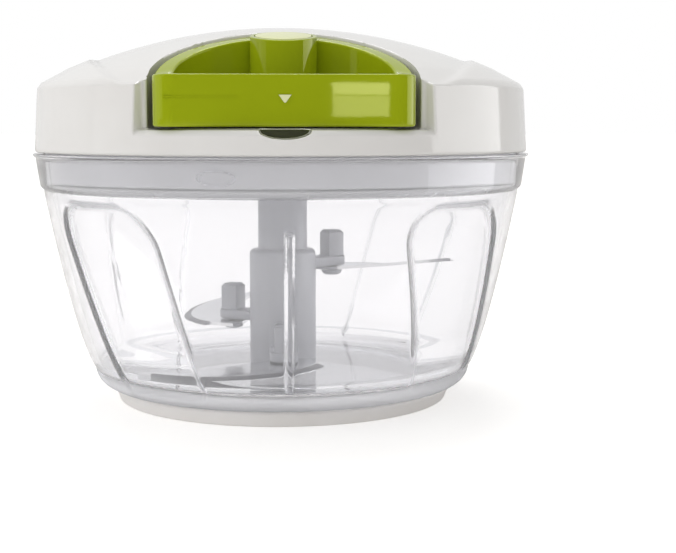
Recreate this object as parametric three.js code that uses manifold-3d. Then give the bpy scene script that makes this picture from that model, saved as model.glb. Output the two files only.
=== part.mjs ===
// Pull-cord food chopper: a clear bowl, a blade unit that spins on a pin in its floor,
// and a domed lid that holds a cord spool with a recoil spring behind a green pull handle.
// Millimetres, +Z up. The origin is on the table under the middle of the bowl,
// and the handle is pulled towards -Y.
import * as THREE from 'three';
import { mergeVertices } from 'three/addons/utils/BufferGeometryUtils.js';
import Module from 'manifold-3d';

const wasm = await Module();
wasm.setup();

// Fits, cuts and counts of sides
const fitGap = 0.3;
const runningGap = 0.4;
const overrun = 1;
const largeSides = 48;
const mediumSides = 24;
const smallSides = 12;
const cordSides = 8;
const curveSteps = 12;

// Bowl
const bowlUnderside = 4;
const bowlFloorLevel = 7.8;
const bowlWall = 2.1;
const bowlCornerRadius = 4.9;
const bowlInnerCorner = 3.4;
const bowlFootRadius = 48.5;
const bowlTopLevel = 53;
const flareExponent = 0.72;
const flareSpacingExponent = 1.6;
const bandTopRadius = 62.3;
const bandLean = 0.9;
const bandHeight = 9.9;
const bandStepWidth = 1;
const bandStepHeight = 1.2;
const rimBeadProud = 0.7;
const rimBeadHeight = 1;
const underRecessMargin = 1;
const underRecessDepth = 1.2;
const flareSteps = 5;
const cornerSteps = 2;

// Swirled recessed panels and the front rib of the bowl
const panelCount = 4;
const panelTopMargin = 4.5;
const panelDepth = 1.1;
const panelSlope = 1.5;
const panelTopWidth = 28.5;
const panelBottomWidth = 24.7;
const panelCornerRadius = 9;
const panelTopAngle = THREE.MathUtils.degToRad(43.8);
const panelTwist = THREE.MathUtils.degToRad(10.5);
const panelRows = 6;
const panelColumns = 4;
const ribWidth = 2.2;
const ribProud = 0.5;
const ribTopMargin = 5.5;
const ribAngle = THREE.MathUtils.degToRad(1.5);

// Foot ring and the rib of the bowl that it grips
const footRingInset = 7.9;
const footRingWidth = 6.6;
const footRingTaper = 1.2;
const footRibInset = 3.4;
const footRibWidth = 1.6;
const footRibDepth = 1.8;

// Pin in the bowl floor
const pivotRadius = 2;
const pivotRise = 5.2;
const pivotBossRadius = 5;
const pivotSeatDepth = 3.5;
const pivotSeatFloor = 1.2;

// Blade hub with its three arms
const hubRadius = 8.6;
const hubTopLevel = 38.2;
const hubChamfer = 1;
const neckRadius = 6.35;
const neckGap = 1;
const socketDepth = 13;
const armReachShare = 0.33;
const armWidth = 7;
const armThickness = 2.4;
const postSide = 4.8;
const postHeight = 6.4;
const postTipHeight = 0.5;
const postTipInset = 0.5;

// Blades and their rivets
const bladeThickness = 0.8;
const bladeEdgeThickness = 0.2;
const bladeBevel = 2;
const bladeWallGap = 0.4;
const bladeArcRadiusShare = 0.61;
const bladeArcCentreShares = [0.175, -0.35];
const bladeHeelAngle = THREE.MathUtils.degToRad(69);
const bladeTipAngle = THREE.MathUtils.degToRad(-36);
const bladeInnerEdgeShares = [[0.22, 0.185], [0.185, -0.22], [0.59, -0.175], [0.6, -0.76]];
const bladeSteps = 12;
const bladeRivetRadius = 1.5;
const bladeRivetDepth = 5;
const rivetHeadRadius = 2.7;
const rivetHeadHeight = 1.2;
const bladeLowRise = 2.4;
const bladeMidRise = 10.3;
const bladeHighRise = 24.3;
const bladeMidTipRise = 3;
const bladeHighTipRise = 4.2;
const armSpacing = (2 * Math.PI) / 3;

// Lid shell
const lidWall = 2;
const lidEdgeInset = 0.5;
const lidWallLean = 0.9;
const lidWallHeight = 16.2;
const lidDomeRise = 16;
const lidDomeRadius = 142;
const lidShoulderInset = 2;
const domeSteps = 5;
const padRise = 1;
const padInset = 1;
const padInnerWidth = 48.7;
const padInnerLength = 74.8;
const padFrontReach = 52;

// Pull handle
const handleInset = 5;
const handleHalfWidth = 28.5;
const handleSideLength = 7.5;
const handleBarDepth = 6.5;
const handleBarHeight = 11.1;
const handleCorner = 3.5;
const openingCorner = 1.5;
const handleArm = 4.5;
const handleDomeDrop = 1;
const handleRampRise = 5;
const handleRampRun = 8;
const knotBossRadius = 7.2;
const knotBossMargin = 0.3;
const knotCavityRadius = 3.2;
const knotRadius = 2.2;
const capOverhang = 0.5;
const capHeight = 2;
const capDrop = 5.7;
const capPlugDepth = 3;
const capChamfer = 0.6;

// Pocket of the lid that the handle lies in
const pocketGap = 0.75;
const pocketFloorHeight = 6;
const spoolToPocket = 8.25;
const pocketWall = 2;
const pocketFloorThickness = 3;
const frameBevelWidth = 3.3;
const shelfBevelDrop = 2;
const scoopHalfWidth = 5.65;
const scoopDepth = 2;
const scoopLength = 9;

// Cord
const cordRadius = 0.9;
const cordWindInset = 3;
const cordBendRise = 2.4;
const cordHoleGap = 0.4;
const cordSteps = 8;

// Eyelet in the back wall of the pocket
const eyeletWall = 0.65;
const eyeletFlangeRadius = 3.2;
const eyeletFlangeThickness = 1;

// Lid base
const plateRise = 3.3;
const plateThickness = 2;
const skirtWall = 2;
const skirtTopGap = 0.7;
const sealWidth = 1.5;
const sealHeight = 1.4;
const lipWall = 1.5;
const lipStandOff = 0.5;
const bushBossWall = 2;
const bushBossHeight = 3.2;

// Screws that hold the lid base to the lid shell
const screwCount = 4;
const screwInset = 5.3;
const screwRadius = 1.1;
const screwLength = 12;
const screwHeadRadius = 2.9;
const screwHeadHeight = 1.4;
const screwSlotWidth = 0.8;
const screwSlotDepth = 0.7;
const screwBossRadius = 3.6;
const screwBossDepth = 14;

// Bush, drive shaft and spool
const bushWall = 1.4;
const bushStandOff = 0.3;
const journalRadius = 5;
const shaftSide = 6.2;
const shaftEndGap = 0.5;
const shaftFlangeRadius = 8.5;
const shaftFlangeThickness = 2;
const spigotHeight = 6;
const spoolHubRadius = 8;
const spoolHubHeight = 4.4;
const spoolFlangeRadius = 17;
const spoolFlangeThickness = 1.2;
const spoolGrooveHeight = 7.6;
const spoolGrooveDepth = 7.5;
const cupWall = 1.6;
const cupHeight = 6.2;

// Axle, spring and spring cover
const axleRadius = 2;
const axleGrip = 3.1;
const axleBossRadius = 5.5;
const arborRadius = 4;
const springStrip = 0.5;
const springTurns = 4;
const springStepsPerTurn = 16;
const coverThickness = 1.2;

// Levels and radii of the bowl that follow from the sizes above
const bowlFootLevel = bowlUnderside + bowlCornerRadius;
const bandBottomRadius = bandTopRadius - bandLean;
const bandBore = bandTopRadius - bowlWall;
const bowlTopRadius = bandBottomRadius - bandStepWidth;
const innerTopRadius = bowlTopRadius - bowlWall;
const ledgeLevel = bowlTopLevel + bandStepHeight;
const rimLevel = bowlTopLevel + bandHeight;
const rimBeadRadius = bandTopRadius + rimBeadProud;
const panelTopLevel = bowlTopLevel - panelTopMargin;
const ribTopLevel = bowlTopLevel - ribTopMargin;
const footRingTopRadius = bowlFootRadius - footRingInset;
const footRingBore = footRingTopRadius - footRingWidth;
const footGrooveRadius = footRingTopRadius - footRibInset;
const underRecessRadius = footRingBore + underRecessMargin;

// Levels and radii of the lid and its base
const lidEdgeLevel = rimLevel + fitGap;
const lidEdgeRadius = rimBeadRadius - lidEdgeInset;
const lidWallTopLevel = lidEdgeLevel + lidWallHeight;
const lidWallTopRadius = lidEdgeRadius - lidWallLean;
const lidTopLevel = lidWallTopLevel + lidDomeRise;
const sealBottomLevel = ledgeLevel + fitGap;
const sealTopLevel = sealBottomLevel + sealHeight;
const lipBottomLevel = ledgeLevel + lipStandOff;
const plateUnderside = ledgeLevel + plateRise;
const plateTopLevel = plateUnderside + plateThickness;
const skirtRadius = bandBore - fitGap;
const screwCircle = skirtRadius - skirtWall - screwBossRadius - screwInset;

// Levels and radii of the drive
const bushBore = journalRadius + fitGap;
const bushRadius = bushBore + bushWall;
const bushTopLevel = plateTopLevel + bushBossHeight + bushStandOff;
const flangeLevel = bushTopLevel + fitGap;
const spoolLevel = flangeLevel + shaftFlangeThickness + fitGap;
const lowerFlangeLevel = spoolLevel + spoolHubHeight;
const grooveLevel = lowerFlangeLevel + spoolFlangeThickness;
const upperFlangeLevel = grooveLevel + spoolGrooveHeight;
const cupFloorLevel = upperFlangeLevel + spoolFlangeThickness;
const cupTopLevel = cupFloorLevel + cupHeight;
const coverLevel = cupTopLevel + runningGap;
const springHeight = cupHeight - 2 * runningGap;
const spigotTopLevel = spoolLevel - fitGap + spigotHeight;
const axleBottomLevel = spigotTopLevel + shaftFlangeThickness / 2;
const axleTopLevel = coverLevel + coverThickness + axleGrip;
const cordLevel = grooveLevel + spoolGrooveHeight / 2;
const spoolCoreRadius = spoolFlangeRadius - spoolGrooveDepth;
const cordWindRadius = spoolFlangeRadius - cordWindInset;
const cordBendReach = cordWindRadius + cordBendRise;

// Levels and reaches of the handle and its pocket
const pocketFloorLevel = lidEdgeLevel + pocketFloorHeight;
const pocketBackReach = spoolFlangeRadius + spoolToPocket;
const skirtTopLevel = pocketFloorLevel - pocketFloorThickness - skirtTopGap;
const handleFrontReach = lidEdgeRadius - handleInset;
const handleBackReach = pocketBackReach + pocketGap;
const handleArcReach = handleFrontReach - handleSideLength;
const handleArcDepth = handleArcReach - handleBackReach;
const handleRampReach = handleFrontReach - handleBarDepth;
const handleBottomLevel = pocketFloorLevel + runningGap;
const handleBarTopLevel = handleBottomLevel + handleBarHeight;
const knotBossReach = handleBackReach + knotBossRadius + knotBossMargin;
const capRadius = knotBossRadius + capOverhang;
const capBottomLevel = lidTopLevel - capDrop;
const eyeletBackReach = pocketBackReach - pocketWall - fitGap - eyeletFlangeThickness;

// Levels and sizes of the blade unit
const hubBottomLevel = bowlFloorLevel + runningGap;
const neckTopLevel = plateUnderside - neckGap;
const shaftReach = socketDepth - shaftEndGap;
const bladeReach = bowlFootRadius - bowlWall - bladeWallGap;
const armReach = bladeReach * armReachShare;
const bladeArms = [
  { place: 'low', angle: 0, level: hubBottomLevel + bladeLowRise, tipRise: 0 },
  { place: 'mid', angle: -armSpacing, level: hubBottomLevel + bladeMidRise, tipRise: bladeMidTipRise },
  { place: 'high', angle: armSpacing, level: hubBottomLevel + bladeHighRise, tipRise: bladeHighTipRise },
];

// Colours and finishes
const looks = {
  clear: { color: 0xe6e8ee, roughness: 0.06, metalness: 0, transparent: true, opacity: 0.35 },
  softFoot: { color: 0xd8d3ca, roughness: 0.6, metalness: 0 },
  white: { color: 0xf0efec, roughness: 0.25, metalness: 0 },
  baseWhite: { color: 0xd6d6da, roughness: 0.4, metalness: 0 },
  hubPlastic: { color: 0xc3c4d2, roughness: 0.4, metalness: 0 },
  green: { color: 0xa4b417, roughness: 0.22, metalness: 0 },
  paleGreen: { color: 0xc6cf5c, roughness: 0.3, metalness: 0 },
  silicone: { color: 0xe9e9ea, roughness: 0.65, metalness: 0 },
  steel: { color: 0xc9cacc, roughness: 0.28, metalness: 1 },
  springSteel: { color: 0x8d9096, roughness: 0.35, metalness: 1 },
  bronze: { color: 0xb08a4f, roughness: 0.4, metalness: 1 },
  acetal: { color: 0xe4e2da, roughness: 0.45, metalness: 0 },
  cord: { color: 0xe9e7df, roughness: 0.8, metalness: 0 },
};

// Bodies

// a closed body from a geometry, with shared corners merged and turned right side out
function solid(geometry) {
  const bare = geometry.clone();
  bare.deleteAttribute('normal');
  bare.deleteAttribute('uv');
  const merged = mergeVertices(bare);
  const corners = merged.index.array;
  const kept = [];
  for (let i = 0; i < corners.length; i += 3) {
    const [a, b, c] = corners.slice(i, i + 3);
    if (a !== b && b !== c && c !== a) kept.push(a, b, c);
  }
  const vertProperties = new Float32Array(merged.attributes.position.array);
  const make = (triVerts) => new wasm.Manifold(new wasm.Mesh({ numProp: 3, vertProperties, triVerts }));
  const body = make(new Uint32Array(kept));
  return body.volume() < 0 ? make(new Uint32Array(kept.reverse())) : body;
}

// a body turned about the vertical axis from [radius, height] points
function turned(profile, sides) {
  const points = [...profile, profile[0]].map(([radius, height]) => new THREE.Vector2(radius, height));
  const geometry = new THREE.LatheGeometry(points, sides);
  geometry.rotateX(Math.PI / 2);
  return solid(geometry);
}

// an upright cylinder and an upright tube
function rod(radius, low, high, sides) {
  return turned([[0, low], [radius, low], [radius, high], [0, high]], sides);
}

function tube(bore, radius, low, high, sides) {
  return turned([[bore, low], [radius, low], [radius, high], [bore, high]], sides);
}

// an outline in plan raised from one level to another
function slab(outline, low, high) {
  const geometry = new THREE.ExtrudeGeometry(outline, {
    depth: high - low,
    bevelEnabled: false,
    curveSegments: curveSteps,
  });
  geometry.translate(0, 0, low);
  return solid(geometry);
}

// an outline seen from the side, [y, z], drawn out along X on both sides of the middle
function crossBar(points, halfWidth) {
  const outline = new THREE.Shape(points.map(([y, z]) => new THREE.Vector2(y, z)));
  const geometry = new THREE.ExtrudeGeometry(outline, { depth: 2 * halfWidth, bevelEnabled: false });
  geometry.translate(0, 0, -halfWidth);
  const sideways = new THREE.Matrix4().makeBasis(
    new THREE.Vector3(0, 1, 0),
    new THREE.Vector3(0, 0, 1),
    new THREE.Vector3(1, 0, 0),
  );
  geometry.applyMatrix4(sideways);
  return solid(geometry);
}

// an upright square bar
function squareBar(side, low, high) {
  const geometry = new THREE.BoxGeometry(side, side, high - low);
  geometry.translate(0, 0, (low + high) / 2);
  return solid(geometry);
}

// a body between two surfaces that are given at the same rows and columns of points
function between(lower, upper, rows, columns) {
  const points = [];
  for (const surface of [lower, upper]) {
    for (let row = 0; row <= rows; row += 1) {
      for (let column = 0; column <= columns; column += 1) points.push(...surface(row, column));
    }
  }
  const layer = (rows + 1) * (columns + 1);
  const at = (level, row, column) => level * layer + row * (columns + 1) + column;
  const corners = [];
  const quad = (a, b, c, d) => corners.push(a, b, c, a, c, d);
  for (let row = 0; row < rows; row += 1) {
    for (let column = 0; column < columns; column += 1) {
      quad(at(0, row, column), at(0, row + 1, column), at(0, row + 1, column + 1), at(0, row, column + 1));
      quad(at(1, row, column), at(1, row, column + 1), at(1, row + 1, column + 1), at(1, row + 1, column));
    }
    quad(at(0, row, 0), at(1, row, 0), at(1, row + 1, 0), at(0, row + 1, 0));
    quad(at(0, row + 1, columns), at(1, row + 1, columns), at(1, row, columns), at(0, row, columns));
  }
  for (let column = 0; column < columns; column += 1) {
    quad(at(0, 0, column + 1), at(1, 0, column + 1), at(1, 0, column), at(0, 0, column));
    quad(at(0, rows, column), at(1, rows, column), at(1, rows, column + 1), at(0, rows, column + 1));
  }
  const geometry = new THREE.BufferGeometry();
  geometry.setAttribute('position', new THREE.Float32BufferAttribute(points, 3));
  geometry.setIndex(corners);
  return solid(geometry);
}

// a round cord along a curve
function cordAlong(curve, steps) {
  const section = new THREE.Shape();
  section.absarc(0, 0, cordRadius, 0, 2 * Math.PI);
  const geometry = new THREE.ExtrudeGeometry(section, {
    steps,
    extrudePath: curve,
    bevelEnabled: false,
    curveSegments: cordSides / 2,
  });
  return solid(geometry);
}

// a body moved or turned before it is joined or cut
function moved(body, x, y, z) {
  return body.translate([x, y, z]);
}

// a round body that was turned about Z laid along Y, its upper end towards +Y
function laidBack(body) {
  return body.rotate([-90, 0, 0]);
}

// one named piece with a finish of its own
function piece(name, body, look) {
  const mesh = body.getMesh();
  const geometry = new THREE.BufferGeometry();
  geometry.setAttribute('position', new THREE.BufferAttribute(mesh.vertProperties, 3));
  geometry.setIndex(new THREE.BufferAttribute(mesh.triVerts, 1));
  geometry.computeVertexNormals();
  const made = new THREE.Mesh(geometry, new THREE.MeshStandardMaterial(look));
  made.name = name;
  return made;
}

// a point at an angle round the axis, counted from the front towards +X
function around(angle, radius, level) {
  return [radius * Math.sin(angle), -radius * Math.cos(angle), level];
}

// Bowl

// outer radius of the flared wall
function bowlRadiusAt(level) {
  const share = Math.max(0, (level - bowlFootLevel) / (bowlTopLevel - bowlFootLevel));
  return bowlFootRadius + (bowlTopRadius - bowlFootRadius) * share ** flareExponent;
}

// points of a quarter round that turns from pointing down to pointing outwards
function cornerPoints(centreRadius, centreLevel, radius) {
  const points = [];
  for (let step = 0; step <= cornerSteps; step += 1) {
    const angle = (step / cornerSteps) * (Math.PI / 2);
    points.push([centreRadius + radius * Math.sin(angle), centreLevel - radius * Math.cos(angle)]);
  }
  return points;
}

// points of the flared wall above a level, closest together near the foot
function flarePoints(startLevel, inset) {
  const points = [];
  for (let step = 1; step <= flareSteps; step += 1) {
    const level = startLevel + (bowlTopLevel - startLevel) * (step / flareSteps) ** flareSpacingExponent;
    points.push([bowlRadiusAt(level) - inset, level]);
  }
  return points;
}

function bowlShell() {
  const innerCornerLevel = bowlFloorLevel + bowlInnerCorner;
  const innerCornerRadius = bowlRadiusAt(innerCornerLevel) - bowlWall - bowlInnerCorner;
  const recessLevel = bowlUnderside + underRecessDepth;
  const inner = [
    ...cornerPoints(innerCornerRadius, innerCornerLevel, bowlInnerCorner),
    ...flarePoints(innerCornerLevel, bowlWall),
    [innerTopRadius, ledgeLevel],
    [bandBore, ledgeLevel],
    [bandBore, rimLevel],
  ];
  return turned([
    [0, recessLevel],
    [underRecessRadius, recessLevel],
    [underRecessRadius, bowlUnderside],
    ...cornerPoints(bowlFootRadius - bowlCornerRadius, bowlFootLevel, bowlCornerRadius),
    ...flarePoints(bowlFootLevel, 0),
    [bandBottomRadius, ledgeLevel],
    [bandTopRadius, rimLevel - rimBeadHeight],
    [rimBeadRadius, rimLevel - rimBeadHeight / 2],
    [rimBeadRadius, rimLevel],
    ...inner.reverse(),
    [0, bowlFloorLevel],
  ], largeSides);
}

// the body that cuts one swirled panel, with sloping sides and round top corners
function panelCutter(centreAngle) {
  const bottomLevel = bowlUnderside - overrun;
  const straightLevel = panelTopLevel - panelCornerRadius;
  const levelOf = (row) => {
    const share = Math.sin((row / panelRows) * (Math.PI / 2));
    return bottomLevel + (panelTopLevel - bottomLevel) * share;
  };
  const halfWidthAt = (level) => {
    const share = (level - bowlUnderside) / (panelTopLevel - bowlUnderside);
    const width = panelBottomWidth + (panelTopWidth - panelBottomWidth) * share;
    const into = Math.min(panelCornerRadius, Math.max(0, level - straightLevel));
    return width / 2 - panelCornerRadius + Math.sqrt(panelCornerRadius ** 2 - into ** 2);
  };
  const surface = (inset, narrowing) => (row, column) => {
    const level = levelOf(row);
    const share = (level - bowlUnderside) / (panelTopLevel - bowlUnderside);
    const radius = bowlRadiusAt(level) - inset;
    const middle = centreAngle - panelTwist * (share - 1);
    const half = (halfWidthAt(level) - narrowing) / bowlRadiusAt(level);
    return around(middle + half * ((2 * column) / panelColumns - 1), radius, level);
  };
  const widening = (panelSlope * overrun) / panelDepth;
  return between(surface(panelDepth, panelSlope), surface(-overrun, -widening), panelRows, panelColumns);
}

function frontRib() {
  const surface = (proud) => (row, column) => {
    const level = bowlFootLevel + (ribTopLevel - bowlFootLevel) * (row / panelRows);
    const radius = bowlRadiusAt(level);
    const angle = ribAngle + ((column - 1 / 2) * ribWidth) / radius;
    return around(angle, radius + proud, level);
  };
  return between(surface(-ribProud), surface(ribProud), panelRows, 1);
}

function footRib() {
  const inner = footGrooveRadius - footRibWidth / 2;
  const outer = footGrooveRadius + footRibWidth / 2;
  return tube(inner, outer, bowlUnderside - footRibDepth, bowlUnderside + overrun, largeSides);
}

function makeBowl() {
  const bossLevel = bowlFloorLevel - pivotSeatDepth - pivotSeatFloor;
  const pivotBoss = rod(pivotBossRadius, bossLevel, bowlFloorLevel - overrun, mediumSides);
  const seatLevel = bowlFloorLevel - pivotSeatDepth;
  const pivotHole = rod(pivotRadius + fitGap, seatLevel, bowlFloorLevel + overrun, smallSides);
  let bowl = bowlShell().add(footRib()).add(pivotBoss).add(frontRib()).subtract(pivotHole);
  for (let panel = 0; panel < panelCount; panel += 1) {
    bowl = bowl.subtract(panelCutter(panelTopAngle + (panel * 2 * Math.PI) / panelCount));
  }
  return piece('bowl', bowl, looks.clear);
}

function makeFootRing() {
  const top = bowlUnderside - fitGap;
  const grooveHalf = footRibWidth / 2 + fitGap;
  const grooveLevel = bowlUnderside - footRibDepth - fitGap;
  const ring = turned([
    [footRingBore, 0],
    [footRingTopRadius - footRingTaper, 0],
    [footRingTopRadius, top],
    [footGrooveRadius + grooveHalf, top],
    [footGrooveRadius + grooveHalf, grooveLevel],
    [footGrooveRadius - grooveHalf, grooveLevel],
    [footGrooveRadius - grooveHalf, top],
    [footRingBore, top],
  ], largeSides);
  return piece('foot_ring', ring, looks.softFoot);
}

function makePivotPin() {
  const length = pivotSeatDepth - fitGap + pivotRise;
  const pin = turned([
    [0, 0],
    [pivotRadius, 0],
    [pivotRadius, length - pivotRadius / 2],
    [pivotRadius / 2, length],
    [0, length],
  ], smallSides);
  const made = piece('pivot_pin', pin, looks.steel);
  made.position.z = bowlFloorLevel - pivotSeatDepth + fitGap;
  return made;
}

// Blade unit

// one arm along +X with its post, around the hub axis
function hubArm(level) {
  const underside = level + bladeThickness / 2 + fitGap;
  const outline = new THREE.Shape();
  outline.moveTo(0, -armWidth / 2);
  outline.absarc(armReach, 0, armWidth / 2, -Math.PI / 2, Math.PI / 2);
  outline.lineTo(0, armWidth / 2);
  const top = underside + armThickness;
  const post = squareBar(postSide, top - overrun, top + postHeight);
  const postTop = top + postHeight;
  const tip = squareBar(postSide - 2 * postTipInset, postTop - overrun, postTop + postTipHeight);
  const bore = rod(bladeRivetRadius + fitGap, underside - overrun, underside + bladeRivetDepth, smallSides);
  const wholePost = post.add(tip).translate([armReach, 0, 0]);
  return slab(outline, underside, top).add(wholePost).subtract(moved(bore, armReach, 0, 0));
}

// how far an arm is turned from +X
function armTurn(arm) {
  return arm.angle - Math.PI / 2;
}

function makeHub() {
  const column = turned([
    [0, hubBottomLevel],
    [hubRadius, hubBottomLevel],
    [hubRadius, hubTopLevel - hubChamfer],
    [hubRadius - hubChamfer, hubTopLevel],
    [neckRadius, hubTopLevel],
    [neckRadius, neckTopLevel],
    [0, neckTopLevel],
  ], mediumSides);
  let hub = column;
  for (const arm of bladeArms) {
    const turn = THREE.MathUtils.radToDeg(armTurn(arm));
    hub = hub.add(hubArm(arm.level).rotate([0, 0, turn]));
  }
  const socket = squareBar(shaftSide + 2 * fitGap, neckTopLevel - socketDepth, neckTopLevel + overrun);
  const pinTopLevel = bowlFloorLevel + pivotRise;
  const pinBore = rod(pivotRadius + fitGap, hubBottomLevel - overrun, pinTopLevel + runningGap, smallSides);
  return piece('blade_hub', hub.subtract(socket).subtract(pinBore), looks.hubPlastic);
}

// a crescent blade whose outer edge is ground, flat at its heel and rising to its tip
function crescent(tipRise) {
  const placed = (shares) => new THREE.Vector2(...shares).multiplyScalar(bladeReach);
  const inner = new THREE.CubicBezierCurve(...bladeInnerEdgeShares.map(placed));
  const centre = placed(bladeArcCentreShares);
  const arcRadius = bladeReach * bladeArcRadiusShare;
  const riseStart = -armWidth / 2;
  const riseAt = (y) => (tipRise * Math.max(0, riseStart - y)) / (riseStart - inner.v3.y);
  const pointAt = (row, column) => {
    const share = row / bladeSteps;
    const angle = bladeHeelAngle + (bladeTipAngle - bladeHeelAngle) * share;
    const edge = new THREE.Vector2(Math.cos(angle), Math.sin(angle));
    const near = inner.getPoint(share);
    const radius = column === 2 ? arcRadius : arcRadius - bladeBevel;
    return column === 0 ? near : edge.multiplyScalar(radius).add(centre);
  };
  const lower = (row, column) => {
    const { x, y } = pointAt(row, column);
    return [x, y, riseAt(y) - bladeThickness / 2];
  };
  const upper = (row, column) => {
    const [x, y, z] = lower(row, column);
    return [x, y, z + (column === 2 ? bladeEdgeThickness : bladeThickness)];
  };
  const hole = rod(bladeRivetRadius + fitGap, -overrun, overrun, smallSides);
  return between(lower, upper, bladeSteps, 2).subtract(moved(hole, armReach, 0, 0));
}

function bladeRivet() {
  const headTop = -bladeThickness / 2 - fitGap;
  const shankTop = bladeThickness / 2 + bladeRivetDepth;
  return turned([
    [0, headTop - rivetHeadHeight],
    [rivetHeadRadius - rivetHeadHeight / 2, headTop - rivetHeadHeight],
    [rivetHeadRadius, headTop - rivetHeadHeight / 2],
    [rivetHeadRadius, headTop],
    [bladeRivetRadius, headTop],
    [bladeRivetRadius, shankTop],
    [0, shankTop],
  ], smallSides);
}

function makeBladeUnit() {
  const unit = new THREE.Group();
  unit.add(makeHub());
  for (const arm of bladeArms) {
    const holder = new THREE.Group();
    holder.rotation.z = armTurn(arm);
    holder.position.z = arm.level;
    holder.add(piece(`blade_${arm.place}`, crescent(arm.tipRise), looks.steel));
    const rivet = piece(`rivet_${arm.place}`, bladeRivet(), looks.hubPlastic);
    rivet.position.x = armReach;
    holder.add(rivet);
    unit.add(holder);
  }
  return unit;
}

// Lid shell

// level of a spherical dome at a radius
function domeLevel(topLevel, radius) {
  return topLevel - lidDomeRadius + Math.sqrt(lidDomeRadius ** 2 - radius ** 2);
}

// points of the dome from its shoulder in to the axis
function domePoints(topLevel, startRadius) {
  const points = [];
  for (let step = 0; step <= domeSteps; step += 1) {
    const radius = startRadius * (1 - step / domeSteps);
    points.push([radius, domeLevel(topLevel, radius)]);
  }
  return points;
}

// the outer form of the lid, made smaller by an inset, down to a level
function lidForm(inset, bottomLevel) {
  const shoulderRadius = lidWallTopRadius - lidShoulderInset - inset;
  const topLevel = lidTopLevel - inset;
  const cornerLevel = (lidWallTopLevel + domeLevel(topLevel, shoulderRadius)) / 2 + lidShoulderInset / 5;
  return turned([
    [0, bottomLevel],
    [lidEdgeRadius - inset, bottomLevel],
    [lidWallTopRadius - inset, lidWallTopLevel - inset],
    [lidWallTopRadius - inset - lidShoulderInset / 4, cornerLevel - inset / 2],
    ...domePoints(topLevel, shoulderRadius),
  ], largeSides);
}

// the outline of the handle in plan, grown by a margin, with its front carried to a reach
function handleOutline(margin, frontReach, corner) {
  const halfWidth = handleHalfWidth + margin;
  const outline = new THREE.Shape();
  outline.absellipse(0, -handleArcReach, halfWidth, handleArcDepth + margin, 0, Math.PI, false);
  outline.lineTo(-halfWidth, corner - frontReach);
  outline.absarc(corner - halfWidth, corner - frontReach, corner, Math.PI, 1.5 * Math.PI, false);
  outline.absarc(halfWidth - corner, corner - frontReach, corner, 1.5 * Math.PI, 2 * Math.PI, false);
  return outline;
}

// the raised pads on both shoulders, outside an ellipse in plan
function shoulderPads() {
  const outerRadius = lidWallTopRadius - padInset;
  const raised = turned([
    [0, lidWallTopLevel - lidShoulderInset],
    [outerRadius, lidWallTopLevel - lidShoulderInset],
    [outerRadius, domeLevel(lidTopLevel, outerRadius)],
    ...domePoints(lidTopLevel + padRise, outerRadius - padRise),
  ], largeSides);
  const middle = new THREE.Shape();
  middle.absellipse(0, 0, padInnerWidth, padInnerLength, 0, 2 * Math.PI, false);
  const sides = crossBar([
    [-padFrontReach, 0],
    [padFrontReach, 0],
    [padFrontReach, lidTopLevel],
    [-padFrontReach, lidTopLevel],
  ], lidEdgeRadius + overrun);
  return raised.subtract(slab(middle, 0, lidTopLevel + overrun)).intersect(sides);
}

// the bevel that leads from each side of the pocket out to the round wall
function frameBevels() {
  const inner = handleHalfWidth + pocketGap - overrun;
  const outer = inner + overrun + frameBevelWidth;
  const back = handleRampReach - overrun;
  const bevelEnd = handleRampReach + frameBevelWidth;
  const front = lidEdgeRadius + overrun;
  const outline = new THREE.Shape();
  outline.moveTo(-inner, -back);
  outline.lineTo(-outer, -bevelEnd);
  outline.lineTo(-outer, -front);
  outline.lineTo(outer, -front);
  outline.lineTo(outer, -bevelEnd);
  outline.lineTo(inner, -back);
  return slab(outline, pocketFloorLevel, lidTopLevel);
}

// the sloping shelf under the handle and the finger scoop in its middle
function shelfCut() {
  const front = lidEdgeRadius + overrun;
  const shelf = crossBar([
    [-handleFrontReach, pocketFloorLevel],
    [-handleFrontReach, pocketFloorLevel + overrun],
    [-front, pocketFloorLevel + overrun],
    [-front, pocketFloorLevel - shelfBevelDrop],
  ], handleHalfWidth + pocketGap + frameBevelWidth / 2);
  const scoop = laidBack(rod(scoopHalfWidth, 0, scoopLength, mediumSides))
    .scale([1, 1, scoopDepth / scoopHalfWidth])
    .translate([0, -front, pocketFloorLevel - shelfBevelDrop / 3]);
  return shelf.add(scoop);
}

// a hole along Y through the back wall of the pocket or the handle
function holeAlongY(radius, frontReach, backReach, level, sides) {
  const length = frontReach - backReach;
  return laidBack(rod(radius, 0, length, sides)).translate([0, -frontReach, level]);
}

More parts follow.
